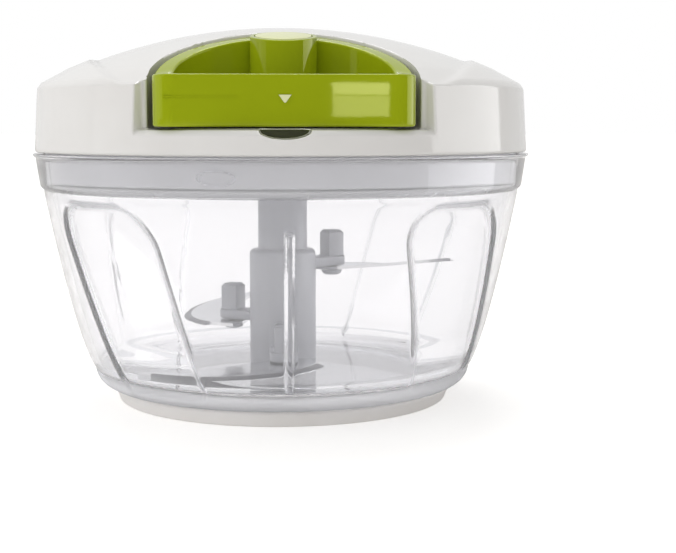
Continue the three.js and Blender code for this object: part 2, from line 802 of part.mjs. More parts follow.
function makeLidShell() {
  const pocketBlock = slab(
    handleOutline(pocketGap + pocketWall, lidEdgeRadius, handleCorner),
    pocketFloorLevel - pocketFloorThickness,
    lidTopLevel,
  );
  const inside = lidForm(lidWall, lidEdgeLevel - overrun).subtract(pocketBlock);
  const axleBossLevel = coverLevel + coverThickness + fitGap;
  const axleBoss = rod(axleBossRadius, axleBossLevel, lidTopLevel - lidWall / 2, mediumSides);
  let shell = lidForm(0, lidEdgeLevel).add(shoulderPads()).subtract(inside).add(axleBoss);
  for (let screw = 0; screw < screwCount; screw += 1) {
    const [x, y] = screwPlace(screw);
    const ceiling = domeLevel(lidTopLevel, screwCircle + screwBossRadius) - lidWall / 2;
    const boss = rod(screwBossRadius, plateTopLevel + fitGap, ceiling, smallSides);
    const pilotTop = plateTopLevel + screwBossDepth;
    const pilot = rod(screwRadius + fitGap, plateTopLevel - overrun, pilotTop, smallSides);
    shell = shell.add(moved(boss, x, y, 0)).subtract(moved(pilot, x, y, 0));
  }
  const pocket = slab(
    handleOutline(pocketGap, lidEdgeRadius + overrun + handleCorner, handleCorner),
    pocketFloorLevel,
    lidTopLevel,
  );
  const axleBore = rod(axleRadius + fitGap, coverLevel, axleTopLevel + fitGap, smallSides);
  const eyeletHole = holeAlongY(eyeletRadius() + fitGap, pocketBackReach + overrun,
    pocketBackReach - pocketWall - overrun, cordLevel, smallSides);
  shell = shell.subtract(pocket).subtract(frameBevels()).subtract(shelfCut());
  shell = shell.subtract(axleBore).subtract(eyeletHole);
  return piece('lid_shell', shell, looks.white);
}

// Handle

function makePullHandle() {
  const ring = slab(handleOutline(0, handleFrontReach, handleCorner), handleBottomLevel, lidTopLevel);
  const opening = slab(
    handleOutline(-handleArm, handleFrontReach - handleArm, openingCorner),
    handleBottomLevel - overrun,
    lidTopLevel + overrun,
  );
  const boss = moved(rod(knotBossRadius, handleBottomLevel, lidTopLevel, mediumSides), 0, -knotBossReach, 0);
  const underDome = turned([
    [0, handleBottomLevel - overrun],
    [lidDomeRadius / 2, handleBottomLevel - overrun],
    ...domePoints(lidTopLevel - handleDomeDrop, lidDomeRadius / 2),
  ], largeSides);
  const front = handleFrontReach + overrun;
  const overBar = crossBar([
    [-front, handleBarTopLevel],
    [-handleRampReach, handleBarTopLevel],
    [handleRampRun - handleRampReach, handleBarTopLevel + handleRampRise],
    [handleRampRun - handleRampReach, lidTopLevel + overrun],
    [-front, lidTopLevel + overrun],
  ], handleHalfWidth + overrun);
  const capSeat = rod(capRadius + fitGap, capBottomLevel - fitGap, lidTopLevel, mediumSides);
  const cavity = rod(knotCavityRadius, cordLevel - knotCavityRadius, lidTopLevel, smallSides);
  const holeRadius = cordRadius + cordHoleGap;
  const cordHole = holeAlongY(holeRadius, knotBossReach, pocketBackReach, cordLevel, smallSides);
  const handle = ring.subtract(opening).add(boss).intersect(underDome).subtract(overBar)
    .subtract(moved(capSeat, 0, -knotBossReach, 0))
    .subtract(moved(cavity, 0, -knotBossReach, 0))
    .subtract(cordHole);
  return piece('pull_handle', handle, looks.green);
}

function makeKnotCap() {
  const plugRadius = knotCavityRadius - fitGap;
  const cap = turned([
    [0, -capPlugDepth],
    [plugRadius, -capPlugDepth],
    [plugRadius, 0],
    [capRadius, 0],
    [capRadius, capHeight - capChamfer],
    [capRadius - capChamfer, capHeight],
    [0, capHeight],
  ], mediumSides);
  const made = piece('knot_cap', cap, looks.paleGreen);
  made.position.set(0, -knotBossReach, capBottomLevel);
  return made;
}

// Cord, eyelet and winding

function eyeletRadius() {
  return cordRadius + cordHoleGap + eyeletWall;
}

// the knot in the boss and the stretch that runs back into the eyelet
function makePullCord() {
  const ball = solid(new THREE.SphereGeometry(knotRadius, cordSides, cordSides));
  const knot = moved(ball, 0, -knotBossReach, cordLevel);
  const stretch = holeAlongY(cordRadius, knotBossReach, eyeletBackReach + fitGap / 2, cordLevel, cordSides);
  return piece('pull_cord', knot.add(stretch), looks.cord);
}

// the stretch that leaves the winding at a tangent and bends into the eyelet
function makeCordLead() {
  const leave = Math.acos(cordWindRadius / cordBendReach);
  const start = new THREE.Vector3(...around(-leave, cordWindRadius, cordLevel));
  const bend = new THREE.Vector3(0, -cordBendReach, cordLevel);
  const end = new THREE.Vector3(0, fitGap / 2 - eyeletBackReach, cordLevel);
  const path = new THREE.QuadraticBezierCurve3(start, bend, end);
  return piece('cord_lead', cordAlong(path, cordSteps), looks.cord);
}

function makeEyelet() {
  const bore = cordRadius + cordHoleGap;
  const length = pocketBackReach - eyeletBackReach;
  const eyelet = turned([
    [bore, 0],
    [eyeletRadius(), 0],
    [eyeletRadius(), length - eyeletFlangeThickness],
    [eyeletFlangeRadius, length - eyeletFlangeThickness],
    [eyeletFlangeRadius, length],
    [bore, length],
  ], smallSides);
  const made = piece('cord_eyelet', laidBack(eyelet), looks.acetal);
  made.position.set(0, -pocketBackReach, cordLevel);
  return made;
}

function makeWinding() {
  const outer = cordWindRadius - cordRadius - fitGap;
  const winding = tube(spoolCoreRadius + fitGap, outer, 0, spoolGrooveHeight - 2 * fitGap, mediumSides);
  const made = piece('cord_winding', winding, looks.cord);
  made.position.z = grooveLevel + fitGap;
  return made;
}

// Lid base, seal, bush and screws

function screwPlace(screw) {
  const angle = ((screw + 1 / 2) * 2 * Math.PI) / screwCount;
  return around(angle, screwCircle, 0);
}

function makeLidBase() {
  const sealBore = skirtRadius - sealWidth;
  const lipRadius = sealBore - fitGap;
  const bossBore = bushRadius + fitGap;
  let base = turned([
    [bossBore, plateUnderside],
    [lipRadius - lipWall, plateUnderside],
    [lipRadius - lipWall, lipBottomLevel],
    [lipRadius, lipBottomLevel],
    [lipRadius, sealTopLevel + fitGap],
    [skirtRadius, sealTopLevel + fitGap],
    [skirtRadius, skirtTopLevel],
    [skirtRadius - skirtWall, skirtTopLevel],
    [skirtRadius - skirtWall, plateTopLevel],
    [bossBore + bushBossWall, plateTopLevel],
    [bossBore + bushBossWall, plateTopLevel + bushBossHeight],
    [bossBore, plateTopLevel + bushBossHeight],
  ], largeSides);
  for (let screw = 0; screw < screwCount; screw += 1) {
    const [x, y] = screwPlace(screw);
    const hole = rod(screwRadius + 2 * fitGap, plateUnderside - overrun, plateTopLevel + overrun, smallSides);
    base = base.subtract(moved(hole, x, y, 0));
  }
  return piece('lid_base', base, looks.baseWhite);
}

function makeSeal() {
  const seal = tube(skirtRadius - sealWidth, skirtRadius, 0, sealHeight, largeSides);
  const made = piece('lid_seal', seal, looks.silicone);
  made.position.z = sealBottomLevel;
  return made;
}

function makeBush() {
  const bush = tube(bushBore, bushRadius, 0, bushTopLevel - plateUnderside, mediumSides);
  const made = piece('shaft_bush', bush, looks.bronze);
  made.position.z = plateUnderside;
  return made;
}

function screwBody() {
  const body = turned([
    [0, -screwHeadHeight],
    [screwHeadRadius - screwHeadHeight / 2, -screwHeadHeight],
    [screwHeadRadius, -screwHeadHeight / 2],
    [screwHeadRadius, 0],
    [screwRadius, 0],
    [screwRadius, screwLength - screwRadius],
    [0, screwLength],
  ], smallSides);
  const slot = crossBar([
    [-screwSlotWidth / 2, -screwHeadHeight - overrun],
    [screwSlotWidth / 2, -screwHeadHeight - overrun],
    [screwSlotWidth / 2, screwSlotDepth - screwHeadHeight],
    [-screwSlotWidth / 2, screwSlotDepth - screwHeadHeight],
  ], screwHeadRadius / 2);
  return body.subtract(slot).subtract(slot.rotate([0, 0, 90]));
}

function makeScrew(screw) {
  const made = piece(`lid_screw_${screw + 1}`, screwBody(), looks.steel);
  const [x, y] = screwPlace(screw);
  made.position.set(x, y, plateUnderside - fitGap);
  return made;
}

// Drive shaft and spool

function makeDriveShaft() {
  const bottom = neckTopLevel - shaftReach;
  const journalLow = neckTopLevel + fitGap;
  const shaft = squareBar(shaftSide, bottom, journalLow + overrun)
    .add(rod(journalRadius, journalLow, flangeLevel + overrun, mediumSides))
    .add(rod(shaftFlangeRadius, flangeLevel, flangeLevel + shaftFlangeThickness, mediumSides))
    .add(squareBar(shaftSide, flangeLevel, spigotTopLevel));
  return piece('drive_shaft', shaft, looks.hubPlastic);
}

function makeSpool() {
  const spool = turned([
    [0, spoolLevel],
    [spoolHubRadius, spoolLevel],
    [spoolHubRadius, lowerFlangeLevel],
    [spoolFlangeRadius, lowerFlangeLevel],
    [spoolFlangeRadius, grooveLevel],
    [spoolCoreRadius, grooveLevel],
    [spoolCoreRadius, upperFlangeLevel],
    [spoolFlangeRadius, upperFlangeLevel],
    [spoolFlangeRadius, cupTopLevel],
    [spoolFlangeRadius - cupWall, cupTopLevel],
    [spoolFlangeRadius - cupWall, cupFloorLevel],
    [0, cupFloorLevel],
  ], mediumSides);
  const socket = squareBar(shaftSide + 2 * fitGap, spoolLevel - overrun, spigotTopLevel + fitGap);
  const bore = rod(axleRadius + fitGap, spoolLevel, cupFloorLevel + overrun, smallSides);
  return piece('cord_spool', spool.subtract(socket).subtract(bore), looks.acetal);
}

// the pin that the spool turns on, held in the boss under the dome
function makeAxle() {
  return piece('spool_axle', rod(axleRadius, axleBottomLevel, axleTopLevel, smallSides), looks.steel);
}

// a flat spiral strip between the arbor and the wall of the cup
function makeSpring() {
  const innerRadius = arborRadius + fitGap + springStrip;
  const outerRadius = spoolFlangeRadius - cupWall - fitGap - springStrip;
  const steps = springTurns * springStepsPerTurn;
  const surface = (level) => (row, column) => {
    const share = row / steps;
    const radius = innerRadius + (outerRadius - innerRadius) * share + (column - 1 / 2) * springStrip;
    return around(share * springTurns * 2 * Math.PI, radius, level);
  };
  const spring = between(surface(0), surface(springHeight), steps, 1);
  const made = piece('recoil_spring', spring, looks.springSteel);
  made.position.z = cupFloorLevel + runningGap;
  return made;
}

// the cover over the spring, with the arbor that the spring is wound on
function makeSpringCover() {
  const bore = axleRadius + fitGap;
  const cover = turned([
    [bore, cupFloorLevel + runningGap],
    [arborRadius, cupFloorLevel + runningGap],
    [arborRadius, coverLevel],
    [spoolFlangeRadius, coverLevel],
    [spoolFlangeRadius, coverLevel + coverThickness],
    [bore, coverLevel + coverThickness],
  ], mediumSides);
  return piece('spring_cover', cover, looks.acetal);
}

// Assembly

function makeLid() {
  const lid = new THREE.Group();
  lid.add(makeLidShell(), makeLidBase(), makeSeal(), makeBush(), makeEyelet());
  for (let screw = 0; screw < screwCount; screw += 1) lid.add(makeScrew(screw));
  lid.add(makeAxle(), makeSpring(), makeSpringCover(), makeCordLead());
  return lid;
}

function group(...pieces) {
  const made = new THREE.Group();
  made.add(...pieces);
  return made;
}

const chopper = group(
  group(makeBowl(), makeFootRing(), makePivotPin()),
  makeBladeUnit(),
  makeLid(),
  group(makeSpool(), makeWinding(), makeDriveShaft()),
  group(makePullHandle(), makeKnotCap(), makePullCord()),
);

export default chopper;
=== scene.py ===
import math
import bpy
import numpy as np
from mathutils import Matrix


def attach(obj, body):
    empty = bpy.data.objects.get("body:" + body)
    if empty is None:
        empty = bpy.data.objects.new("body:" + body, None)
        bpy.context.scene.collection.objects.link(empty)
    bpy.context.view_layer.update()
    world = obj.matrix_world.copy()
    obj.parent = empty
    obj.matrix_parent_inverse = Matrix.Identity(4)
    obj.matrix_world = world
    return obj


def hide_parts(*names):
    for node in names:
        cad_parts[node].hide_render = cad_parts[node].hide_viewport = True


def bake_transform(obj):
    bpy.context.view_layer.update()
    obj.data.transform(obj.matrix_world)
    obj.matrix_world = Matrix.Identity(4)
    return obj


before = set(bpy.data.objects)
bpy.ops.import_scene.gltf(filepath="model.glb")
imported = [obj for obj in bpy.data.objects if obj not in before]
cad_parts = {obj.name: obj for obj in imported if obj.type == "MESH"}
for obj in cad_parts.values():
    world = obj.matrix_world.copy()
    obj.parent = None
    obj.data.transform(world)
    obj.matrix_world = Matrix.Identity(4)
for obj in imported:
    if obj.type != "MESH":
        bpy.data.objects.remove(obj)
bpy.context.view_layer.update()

# Camera
# A short telephoto a little above the rim, turned slightly to the right,
# which shows the front of the chopper with its handle.
camera_lens = 72.58
camera_sensor = 36
camera_place = (-0.0040, -0.3540, 0.0704)
camera_down = math.radians(6.42)
camera_right = math.radians(2.98)
camera_data = bpy.data.cameras.new("front_camera")
camera_data.lens = camera_lens
camera_data.sensor_width = camera_sensor
camera_data.clip_start = 0.01
camera_data.clip_end = 20
camera = bpy.data.objects.new("front_camera", camera_data)
camera.location = camera_place
camera.rotation_euler = (math.radians(90) - camera_down, 0, -camera_right)
bpy.context.scene.collection.objects.link(camera)
bpy.context.scene.camera = camera
bpy.context.scene.view_settings.view_transform = "Standard"

# Floor and surroundings
# A white sweep that glows faintly, so that it reads as white and keeps the soft shadow,
# and a pale room whose walls are dimmer to glossy plastic than to the camera.
floor_reach = 16
floor_colour = (0.80, 0.785, 0.765, 1)
floor_glow = 0.18
floor_glow_seen = (0.47, 0.60)
floor_glow_reach = (0.10, 0.9)
seen_through_bowl = 0.80
room_diffuse_levels = (0.96, 0.52)
room_diffuse_turn = (-0.7, 0.7)
room_glossy_levels = (0.10, 0.80)
room_glossy_turn = (-0.45, 0.35)


def put_in(tree, node, inputs):
    """Gives inputs of a node their values, or joins them to other nodes' outputs."""
    for key, value in inputs.items():
        if isinstance(value, bpy.types.NodeSocket):
            tree.links.new(value, node.inputs[key])
        else:
            node.inputs[key].default_value = value


def add_node(tree, kind, inputs=None, **settings):
    """A node with its settings and inputs."""
    node = tree.nodes.new(kind)
    for key, value in settings.items():
        setattr(node, key, value)
    put_in(tree, node, inputs or {})
    return node


def worked_out(tree, operation, *terms):
    """The result of a sum on values or other nodes' outputs."""
    return add_node(tree, "ShaderNodeMath", dict(enumerate(terms)), operation=operation).outputs[0]


def ranged(tree, value, to=(0, 1), within=(0, 1), **settings):
    """A value brought from one range to another."""
    return add_node(tree, "ShaderNodeMapRange", {
        "Value": value, "From Min": within[0], "From Max": within[1], "To Min": to[0], "To Max": to[1],
    }, **settings).outputs[0]


def object_place(tree):
    """The place on a piece that a pattern reads."""
    return add_node(tree, "ShaderNodeTexCoord").outputs["Object"]


def new_material(name, inputs):
    """A material, its node tree and its Principled shader with the values given."""
    material = bpy.data.materials.new(name)
    material.use_nodes = True
    tree = material.node_tree
    shader = tree.nodes["Principled BSDF"]
    put_in(tree, shader, inputs)
    return material, tree, shader


def seen_straight(tree):
    """The kinds of ray, and 1 on camera rays and a little less on those that come through the clear bowl."""
    rays = add_node(tree, "ShaderNodeLightPath").outputs
    through = worked_out(tree, "MULTIPLY", rays["Is Transmission Ray"], seen_through_bowl)
    return rays, worked_out(tree, "MAXIMUM", rays["Is Camera Ray"], through)


bpy.ops.object.select_all(action="DESELECT")
bpy.ops.mesh.primitive_plane_add(size=floor_reach)
floor = bpy.context.object
floor.name = "floor"
floor_material, tree, shader = new_material("white_sweep", {
    "Base Color": floor_colour, "Roughness": 0.9, "Specular IOR Level": 0, "Emission Color": (1, 1, 1, 1)})
rays, seen = seen_straight(tree)
off_gloss = ranged(tree, rays["Is Glossy Ray"], (floor_glow, 0))
reach = add_node(tree, "ShaderNodeVectorMath", {0: object_place(tree)}, operation="LENGTH")
far_glow = ranged(tree, reach.outputs["Value"], floor_glow_seen, floor_glow_reach)
put_in(tree, shader, {"Emission Strength": ranged(tree, seen, (off_gloss, far_glow))})
floor.data.materials.append(floor_material)

world = bpy.data.worlds.new("pale_room")
world.use_nodes = True
tree = world.node_tree
rays, seen = seen_straight(tree)
direction = add_node(tree, "ShaderNodeTexCoord")
parts = add_node(tree, "ShaderNodeSeparateXYZ", {0: direction.outputs["Generated"]}).outputs
walls = ranged(tree, parts["Y"], room_glossy_levels, room_glossy_turn, interpolation_type="SMOOTHSTEP")
sides = ranged(tree, parts["X"], room_diffuse_levels, room_diffuse_turn, interpolation_type="SMOOTHSTEP")
unseen = ranged(tree, rays["Is Glossy Ray"], (sides, walls))
put_in(tree, tree.nodes["Background"], {"Color": (1, 1, 1, 1), "Strength": ranged(tree, seen, (unseen, 1))})
bpy.context.scene.world = world

# Lamps
# A large softbox on the right, a weaker one on the left, one overhead,
# and two small panels behind the camera that show as bright patches on the handle.
lamps = (
    ("right_softbox", (1.0, 0.03, 0.30), (0.9, 0.7), 2.4),
    ("left_softbox", (-1.0, -0.25, 0.40), (0.6, 0.7), 0.6),
    ("top_softbox", (0.0, 0.35, 1.1), (0.55, 0.40), 6.5),
    ("upper_panel", (0.0859, -1.0, 0.1045), (0.055, 0.0148), 6.5),
    ("lower_panel", (0.0859, -1.0, 0.0836), (0.055, 0.0246), 4.6),
)
lamp_target = (0, 0, 0.05)
for name, place, size, glow in lamps:
    light = bpy.data.lights.new(name, "AREA")
    light.shape = "RECTANGLE"
    light.size, light.size_y = size
    light.energy = glow * math.pi * size[0] * size[1]
    lamp = bpy.data.objects.new(name, light)
    lamp.location = place
    direction = np.subtract(lamp_target, place)
    lamp.rotation_euler = (
        math.atan2(math.hypot(direction[0], direction[1]), -direction[2]),
        0,
        math.atan2(-direction[0], direction[1]),
    )
    lamp.visible_camera = False
    lamp.visible_diffuse = name != "right_softbox"
    bpy.context.scene.collection.objects.link(lamp)

# Bowl
# One clear moulding: a flared wall with four swirled hollow panels and a thin front rib,
# a taller rim band that carries the lid, and under it a rib that holds the foot ring.
underside_level = 0.0040
foot_level = 0.0089
wall_top_level = 0.0530
ledge_level = 0.0542
step_levels = (0.0541, 0.0549)
foot_radius = 0.0485
wall_top_radius = 0.0604
flare = 0.72
bowl_corner = 0.0049
bowl_wall = 0.0021
bowl_floor_level = 0.0078
inner_corner = 0.0034
band_bottom_radius = 0.0614
band_top_radius = 0.0623
band_bore = 0.0602
bead_radius = 0.0630
bead_low_level = 0.0619
rim_level = 0.0629
rim_round = 0.0003
recess_radius = 0.0350
recess_level = 0.0052
pivot_boss_radius = 0.0050
pivot_boss_level = 0.0031
pivot_hole_radius = 0.0023
pivot_seat_level = 0.0043
foot_rib_radii = (0.0364, 0.0380)
foot_rib_level = 0.0022
panel_top_level = 0.0528
twist_top_level = 0.0485
panel_depth = 0.0008
panel_slope = 0.0024
panel_widths = (0.0264, 0.0356)
panel_corner = 0.0110
inner_panel_fade = (0.0130, 0.0190)
panel_centre = 43.2
panel_twist = 10.5
panel_edge_angle = 15.6
rib_angle = 0.9
rib_half_width = 0.0011
rib_proud = 0.0005
rib_top_level = 0.0475
rib_end_fade = 0.002
oval_place = (-14.0, 0.0585)
oval_half_size = (0.0041, 0.0016)
oval_line = 0.00045
oval_proud = 0.0003
first_column = -46.2
front_columns = (-25, 5)
front_step, panel_edge_step, panel_step, plain_step = 0.4, 0.36, 0.9, 2
panel_edge_reach = 3
panel_middle = 4
wall_rows_rise = 0.0271
fine_rows = (0.0366, 0.0532)
inner_rows_top = 0.0528
step_round = 0.0002
band_rise = 0.0064
floor_row_radii = (0.030, 0.012)
same_point = 0.000001
step_edge_share = 0.8
foot_edge_share = 1.8


def eased(value):
    """0 below 0, 1 above 1 and a smooth turn between."""
    share = np.clip(value, 0, 1)
    return share * share * (3 - 2 * share)


def wall_radius(level):
    """Outer radius of the flared wall at a level."""
    share = np.clip((level - foot_level) / (wall_top_level - foot_level), 0, 1)
    return foot_radius + (wall_top_radius - foot_radius) * share ** flare


def arc_points(centre, radius, start, end, steps):
    """(radius, level) points on an arc, angles in degrees, 0 pointing outwards and 90 up."""
    angles = np.radians(np.linspace(start, end, steps + 1))
    return [(centre[0] + radius * math.cos(a), centre[1] + radius * math.sin(a)) for a in angles]


def bowl_relief(column, azimuth, level, radius):
    """Radius of the outer wall with its panels, rib and oval, and how much of an edge each point is."""
    wall = wall_radius(level)
    off = np.radians((column - panel_centre + 45) % 90 - 45)
    across = np.abs(off) * wall
    share = np.clip((level - underside_level) / (panel_top_level - underside_level), 0, 1)
    half = (panel_widths[0] + (panel_widths[1] - panel_widths[0]) * share) / 2
    corner_across = across - (half - panel_corner)
    corner_up = level - (panel_top_level - panel_corner)
    in_corner = (corner_across > 0) & (corner_up > 0)
    straight = np.minimum(half - across, panel_top_level - level)
    inside = np.where(in_corner, panel_corner - np.hypot(corner_across, corner_up), straight)
    sunk = eased(inside / panel_slope)
    panelled = np.where(sunk > 0, np.minimum(radius, wall - panel_depth * sunk), radius)
    edge = 4 * sunk * (1 - sunk)
    rib_off = np.abs(np.radians(azimuth - rib_angle)) * wall
    raised = eased((rib_half_width - rib_off) / (rib_half_width / 2))
    raised *= eased((rib_top_level - level) / rib_end_fade) * eased((level - foot_level) / rib_end_fade)
    edge = np.maximum(edge, 4 * raised * (1 - raised))
    oval_across = np.radians(azimuth - oval_place[0]) * band_bottom_radius / oval_half_size[0]
    oval_up = (level - oval_place[1]) / oval_half_size[1]
    from_oval = np.abs(np.hypot(oval_across, oval_up) - 1) * oval_half_size[1]
    oval = eased(1 - from_oval / oval_line)
    return panelled + rib_proud * raised + oval_proud * oval, np.maximum(edge, oval), sunk


corner_centre = (foot_radius - bowl_corner, foot_level)
outside = [
    (0, pivot_boss_level),
    (pivot_boss_radius - rim_round, pivot_boss_level),
    (pivot_boss_radius, pivot_boss_level + rim_round),
    (pivot_boss_radius, recess_level),
    (recess_radius, recess_level),
    (recess_radius + rim_round, underside_level),
    (foot_rib_radii[0], underside_level),
    (foot_rib_radii[0], foot_rib_level),
    (foot_rib_radii[1], foot_rib_level),
    (foot_rib_radii[1], underside_level),
]
plain_rows = len(outside)
outside += arc_points(corner_centre, bowl_corner, -90, 0, 12)
outside += [(wall_radius(z), z) for z in foot_level + wall_rows_rise * np.linspace(0, 1, 20)[1:] ** 1.3]
outside += [(wall_radius(z), z) for z in np.linspace(*fine_rows, 29)]
outside += [
    (wall_top_radius, step_levels[0] - step_round),
    (wall_top_radius + step_round, step_levels[0]),
    (band_bottom_radius - rim_round, step_levels[1] - rim_round),
    (band_bottom_radius - step_round / 2, step_levels[1]),
]
outside += [
    (band_bottom_radius + (band_top_radius - band_bottom_radius) * share,
     step_levels[1] + rim_round + band_rise * share)
    for share in np.linspace(0, 1, 17)
]
outside += [
    (band_top_radius + step_round / 2, bead_low_level),
    (bead_radius - step_round, bead_low_level + rim_round),
]
outside += arc_points((bead_radius - rim_round, rim_level - rim_round), rim_round, 0, 90, 3)
inner_start = len(outside)
inside_top = wall_top_radius - bowl_wall
outside += [
    (band_bore + rim_round, rim_level),
    (band_bore, rim_level - rim_round),
    (band_bore, ledge_level + rim_round),
    (band_bore - rim_round, ledge_level),
    (inside_top + rim_round, ledge_level),
    (inside_top, ledge_level - rim_round),
]
floor_corner_level = bowl_floor_level + inner_corner
outside += [(wall_radius(z) - bowl_wall, z) for z in np.linspace(inner_rows_top, floor_corner_level, 46)]
floor_corner_radius = wall_radius(floor_corner_level) - bowl_wall - inner_corner
outside += arc_points((floor_corner_radius, floor_corner_level), inner_corner, 0, -90, 10)[1:]
outside += [
    *[(radius, bowl_floor_level) for radius in floor_row_radii],
    (pivot_hole_radius, bowl_floor_level),
    (pivot_hole_radius, pivot_seat_level),
    (0, pivot_seat_level),
]

columns = []
angle = first_column
while angle < first_column + 360:
    columns.append(angle)
    off = (angle - panel_centre + 45) % 90 - 45
    if front_columns[0] < angle < front_columns[1]:
        angle += front_step
    elif abs(abs(off) - panel_edge_angle) < panel_edge_reach:
        angle += panel_edge_step
    elif panel_middle < abs(off) < panel_edge_angle:
        angle += panel_step
    else:
        angle += plain_step
columns = np.array(columns + [first_column + 360])
rows = np.array(outside)
row_numbers = np.arange(len(rows))[:, None]
column_grid = np.broadcast_to(columns, (len(rows), len(columns)))
radius_grid = np.broadcast_to(rows[:, :1], column_grid.shape)
level_grid = np.broadcast_to(rows[:, 1:], column_grid.shape)
twist_share = 1 - np.clip((level_grid - underside_level) / (twist_top_level - underside_level), 0, 1)
azimuth_grid = column_grid + panel_twist * twist_share
with_relief, edge_grid, sunk_grid = bowl_relief(column_grid, azimuth_grid, level_grid, radius_grid)
outer_rows = (row_numbers >= plain_rows) & (row_numbers < inner_start)
inner_share = eased((level_grid - inner_panel_fade[0]) / (inner_panel_fade[1] - inner_panel_fade[0]))
inner_rows = (row_numbers >= inner_start) & (level_grid < wall_top_level)
radius_grid = np.where(outer_rows, with_relief, radius_grid)
radius_grid = np.where(inner_rows, radius_grid - panel_depth * sunk_grid * inner_share, radius_grid)
in_step = (level_grid > step_levels[0] - step_round / 2) & (level_grid < step_levels[1] + step_round / 2)
in_foot = (level_grid < foot_level) & outer_rows
inner_edges = np.where(inner_rows, edge_grid * inner_share, 0)
outer_edges = np.maximum(edge_grid, step_edge_share * in_step + foot_edge_share * in_foot)
edge_grid = np.where(outer_rows, outer_edges, inner_edges)
turn = np.radians(azimuth_grid)
places = np.stack((radius_grid * np.sin(turn), -radius_grid * np.cos(turn), level_grid), axis=-1)

bpy.ops.object.select_all(action="DESELECT")
bpy.ops.mesh.primitive_grid_add(x_subdivisions=len(columns) - 1, y_subdivisions=len(rows) - 1, size=1)
bowl = bpy.context.object
bowl.name = "clear_bowl"
bowl.data.vertices.foreach_set("co", places.astype(np.float32).ravel())
edge_mask = bowl.data.attributes.new("edge_mask", "FLOAT", "POINT")
edge_mask.data.foreach_set("value", edge_grid.astype(np.float32).ravel())


def only(form):
    """Makes a form the one that is selected and active."""
    bpy.ops.object.select_all(action="DESELECT")
    form.select_set(True)
    bpy.context.view_layer.objects.active = form


def edit_all(form):
    """Opens a form in edit mode with all of it selected."""
    only(form)
    bpy.ops.object.mode_set(mode="EDIT")
    bpy.ops.mesh.select_all(action="SELECT")


def smooth(form, angle=35):
    """Shades a form smooth, apart from edges sharper than an angle."""
    only(form)
    bpy.ops.object.shade_smooth_by_angle(angle=math.radians(angle))


edit_all(bowl)
bpy.ops.mesh.remove_doubles(threshold=same_point)
bpy.ops.object.mode_set(mode="OBJECT")
smooth(bowl, 40)


def shader_group(name, inputs, outputs):
    """A shader node group with sockets for numbers, directions (3) and colours (4), its inputs and its end node."""
    group = bpy.data.node_groups.new(name, "ShaderNodeTree")
    for way, sockets in (("INPUT", inputs), ("OUTPUT", outputs)):
        for label, value in sockets.items():
            kind = "NodeSocketFloat"
            if isinstance(value, tuple):
                kind = "NodeSocketVector" if len(value) == 3 else "NodeSocketColor"
            group.interface.new_socket(name=label, in_out=way, socket_type=kind).default_value = value
    return group, group.nodes.new("NodeGroupInput").outputs, group.nodes.new("NodeGroupOutput")


def mixed(tree, share, first, second):
    """A colour between two others."""
    return add_node(tree, "ShaderNodeMix", {0: share, 6: first, 7: second}, data_type="RGBA").outputs[2]


def noise(tree, place, scale, detail, roughness=0.5):
    """A cloudy pattern."""
    return add_node(tree, "ShaderNodeTexNoise", {
        "Vector": place, "Scale": scale, "Detail": detail, "Roughness": roughness}).outputs["Fac"]


def bumped(tree, height, distance):
    """The normal of a surface with a fine relief."""
    return add_node(tree, "ShaderNodeBump", {"Height": height, "Distance": distance}).outputs["Normal"]


handling_marks, given, result = shader_group(
    "handling_marks", {"Smudge Scale": 45.0, "Scratch Scale": 90.0}, {"Mask": 0.0})
spot = object_place(handling_marks)
smudge = noise(handling_marks, spot, given["Smudge Scale"], 4, 0.6)
streaks = add_node(handling_marks, "ShaderNodeMapping", {
    "Vector": spot, "Rotation": (0.3, 0.2, 0.7), "Scale": (1, 14, 1)})
scratch = noise(handling_marks, streaks.outputs["Vector"], given["Scratch Scale"], 2)
smudge_mask = ranged(handling_marks, smudge, within=(0.5, 0.72))
scratch_mask = ranged(handling_marks, scratch, within=(0.66, 0.74))
put_in(handling_marks, result, {"Mask": worked_out(handling_marks, "MAXIMUM", smudge_mask, scratch_mask)})

# The clear tint turns greyer along the panel edges, rib, oval, step and foot, as painted shade for the grey that
# refraction gives there. It turns greyer again towards the silhouette, as painted shade at grazing angles. The edge
# mask also roughens the same places.
clear_tint = (0.964, 0.963, 0.980, 1)
edge_painted_shade = (0.90, 0.90, 0.925, 1)
grazing_painted_shade = (0.80, 0.80, 0.83, 1)
grazing_turn = (0.25, 0.95)
clear_polish = (0.012, 0.05)
clear_weight = 0.90
clear_ripple = 0.00006
edge_roughness = 0.32
bowl_plastic, tree, shader = new_material("clear_bowl_plastic", {"Transmission Weight": clear_weight, "IOR": 1.49})
edge_share = add_node(tree, "ShaderNodeAttribute", attribute_name="edge_mask").outputs["Fac"]
grazing = add_node(tree, "ShaderNodeLayerWeight", {"Blend": 0.22})
grazing_share = ranged(tree, grazing.outputs["Facing"], within=grazing_turn)
marks = add_node(tree, "ShaderNodeGroup", {"Smudge Scale": 38.0, "Scratch Scale": 70.0}, node_tree=handling_marks)
polish = ranged(tree, marks.outputs["Mask"], clear_polish)
put_in(tree, shader, {
    "Base Color": mixed(tree, grazing_share, mixed(tree, edge_share, clear_tint, edge_painted_shade), grazing_painted_shade),
    "Roughness": worked_out(tree, "MULTIPLY_ADD", edge_share, edge_roughness, polish),
    "Normal": bumped(tree, noise(tree, object_place(tree), 42.0, 1), clear_ripple),
})
lamp_light = add_node(tree, "ShaderNodeBsdfTransparent")
rays = add_node(tree, "ShaderNodeLightPath")
lets_light_in = add_node(tree, "ShaderNodeMixShader", {
    0: rays.outputs["Is Shadow Ray"], 1: shader.outputs[0], 2: lamp_light.outputs[0]})
put_in(tree, tree.nodes["Material Output"], {"Surface": lets_light_in.outputs[0]})


def fitted(piece, material, body, slot, *nodes):
    """Gives a piece its material and body, and says which nodes it stands for."""
    piece.data.materials.clear()
    piece.data.materials.append(material)
    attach(piece, body)
    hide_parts(*nodes)


fitted(bowl, bowl_plastic, "bowl", "clear_plastic", "bowl")

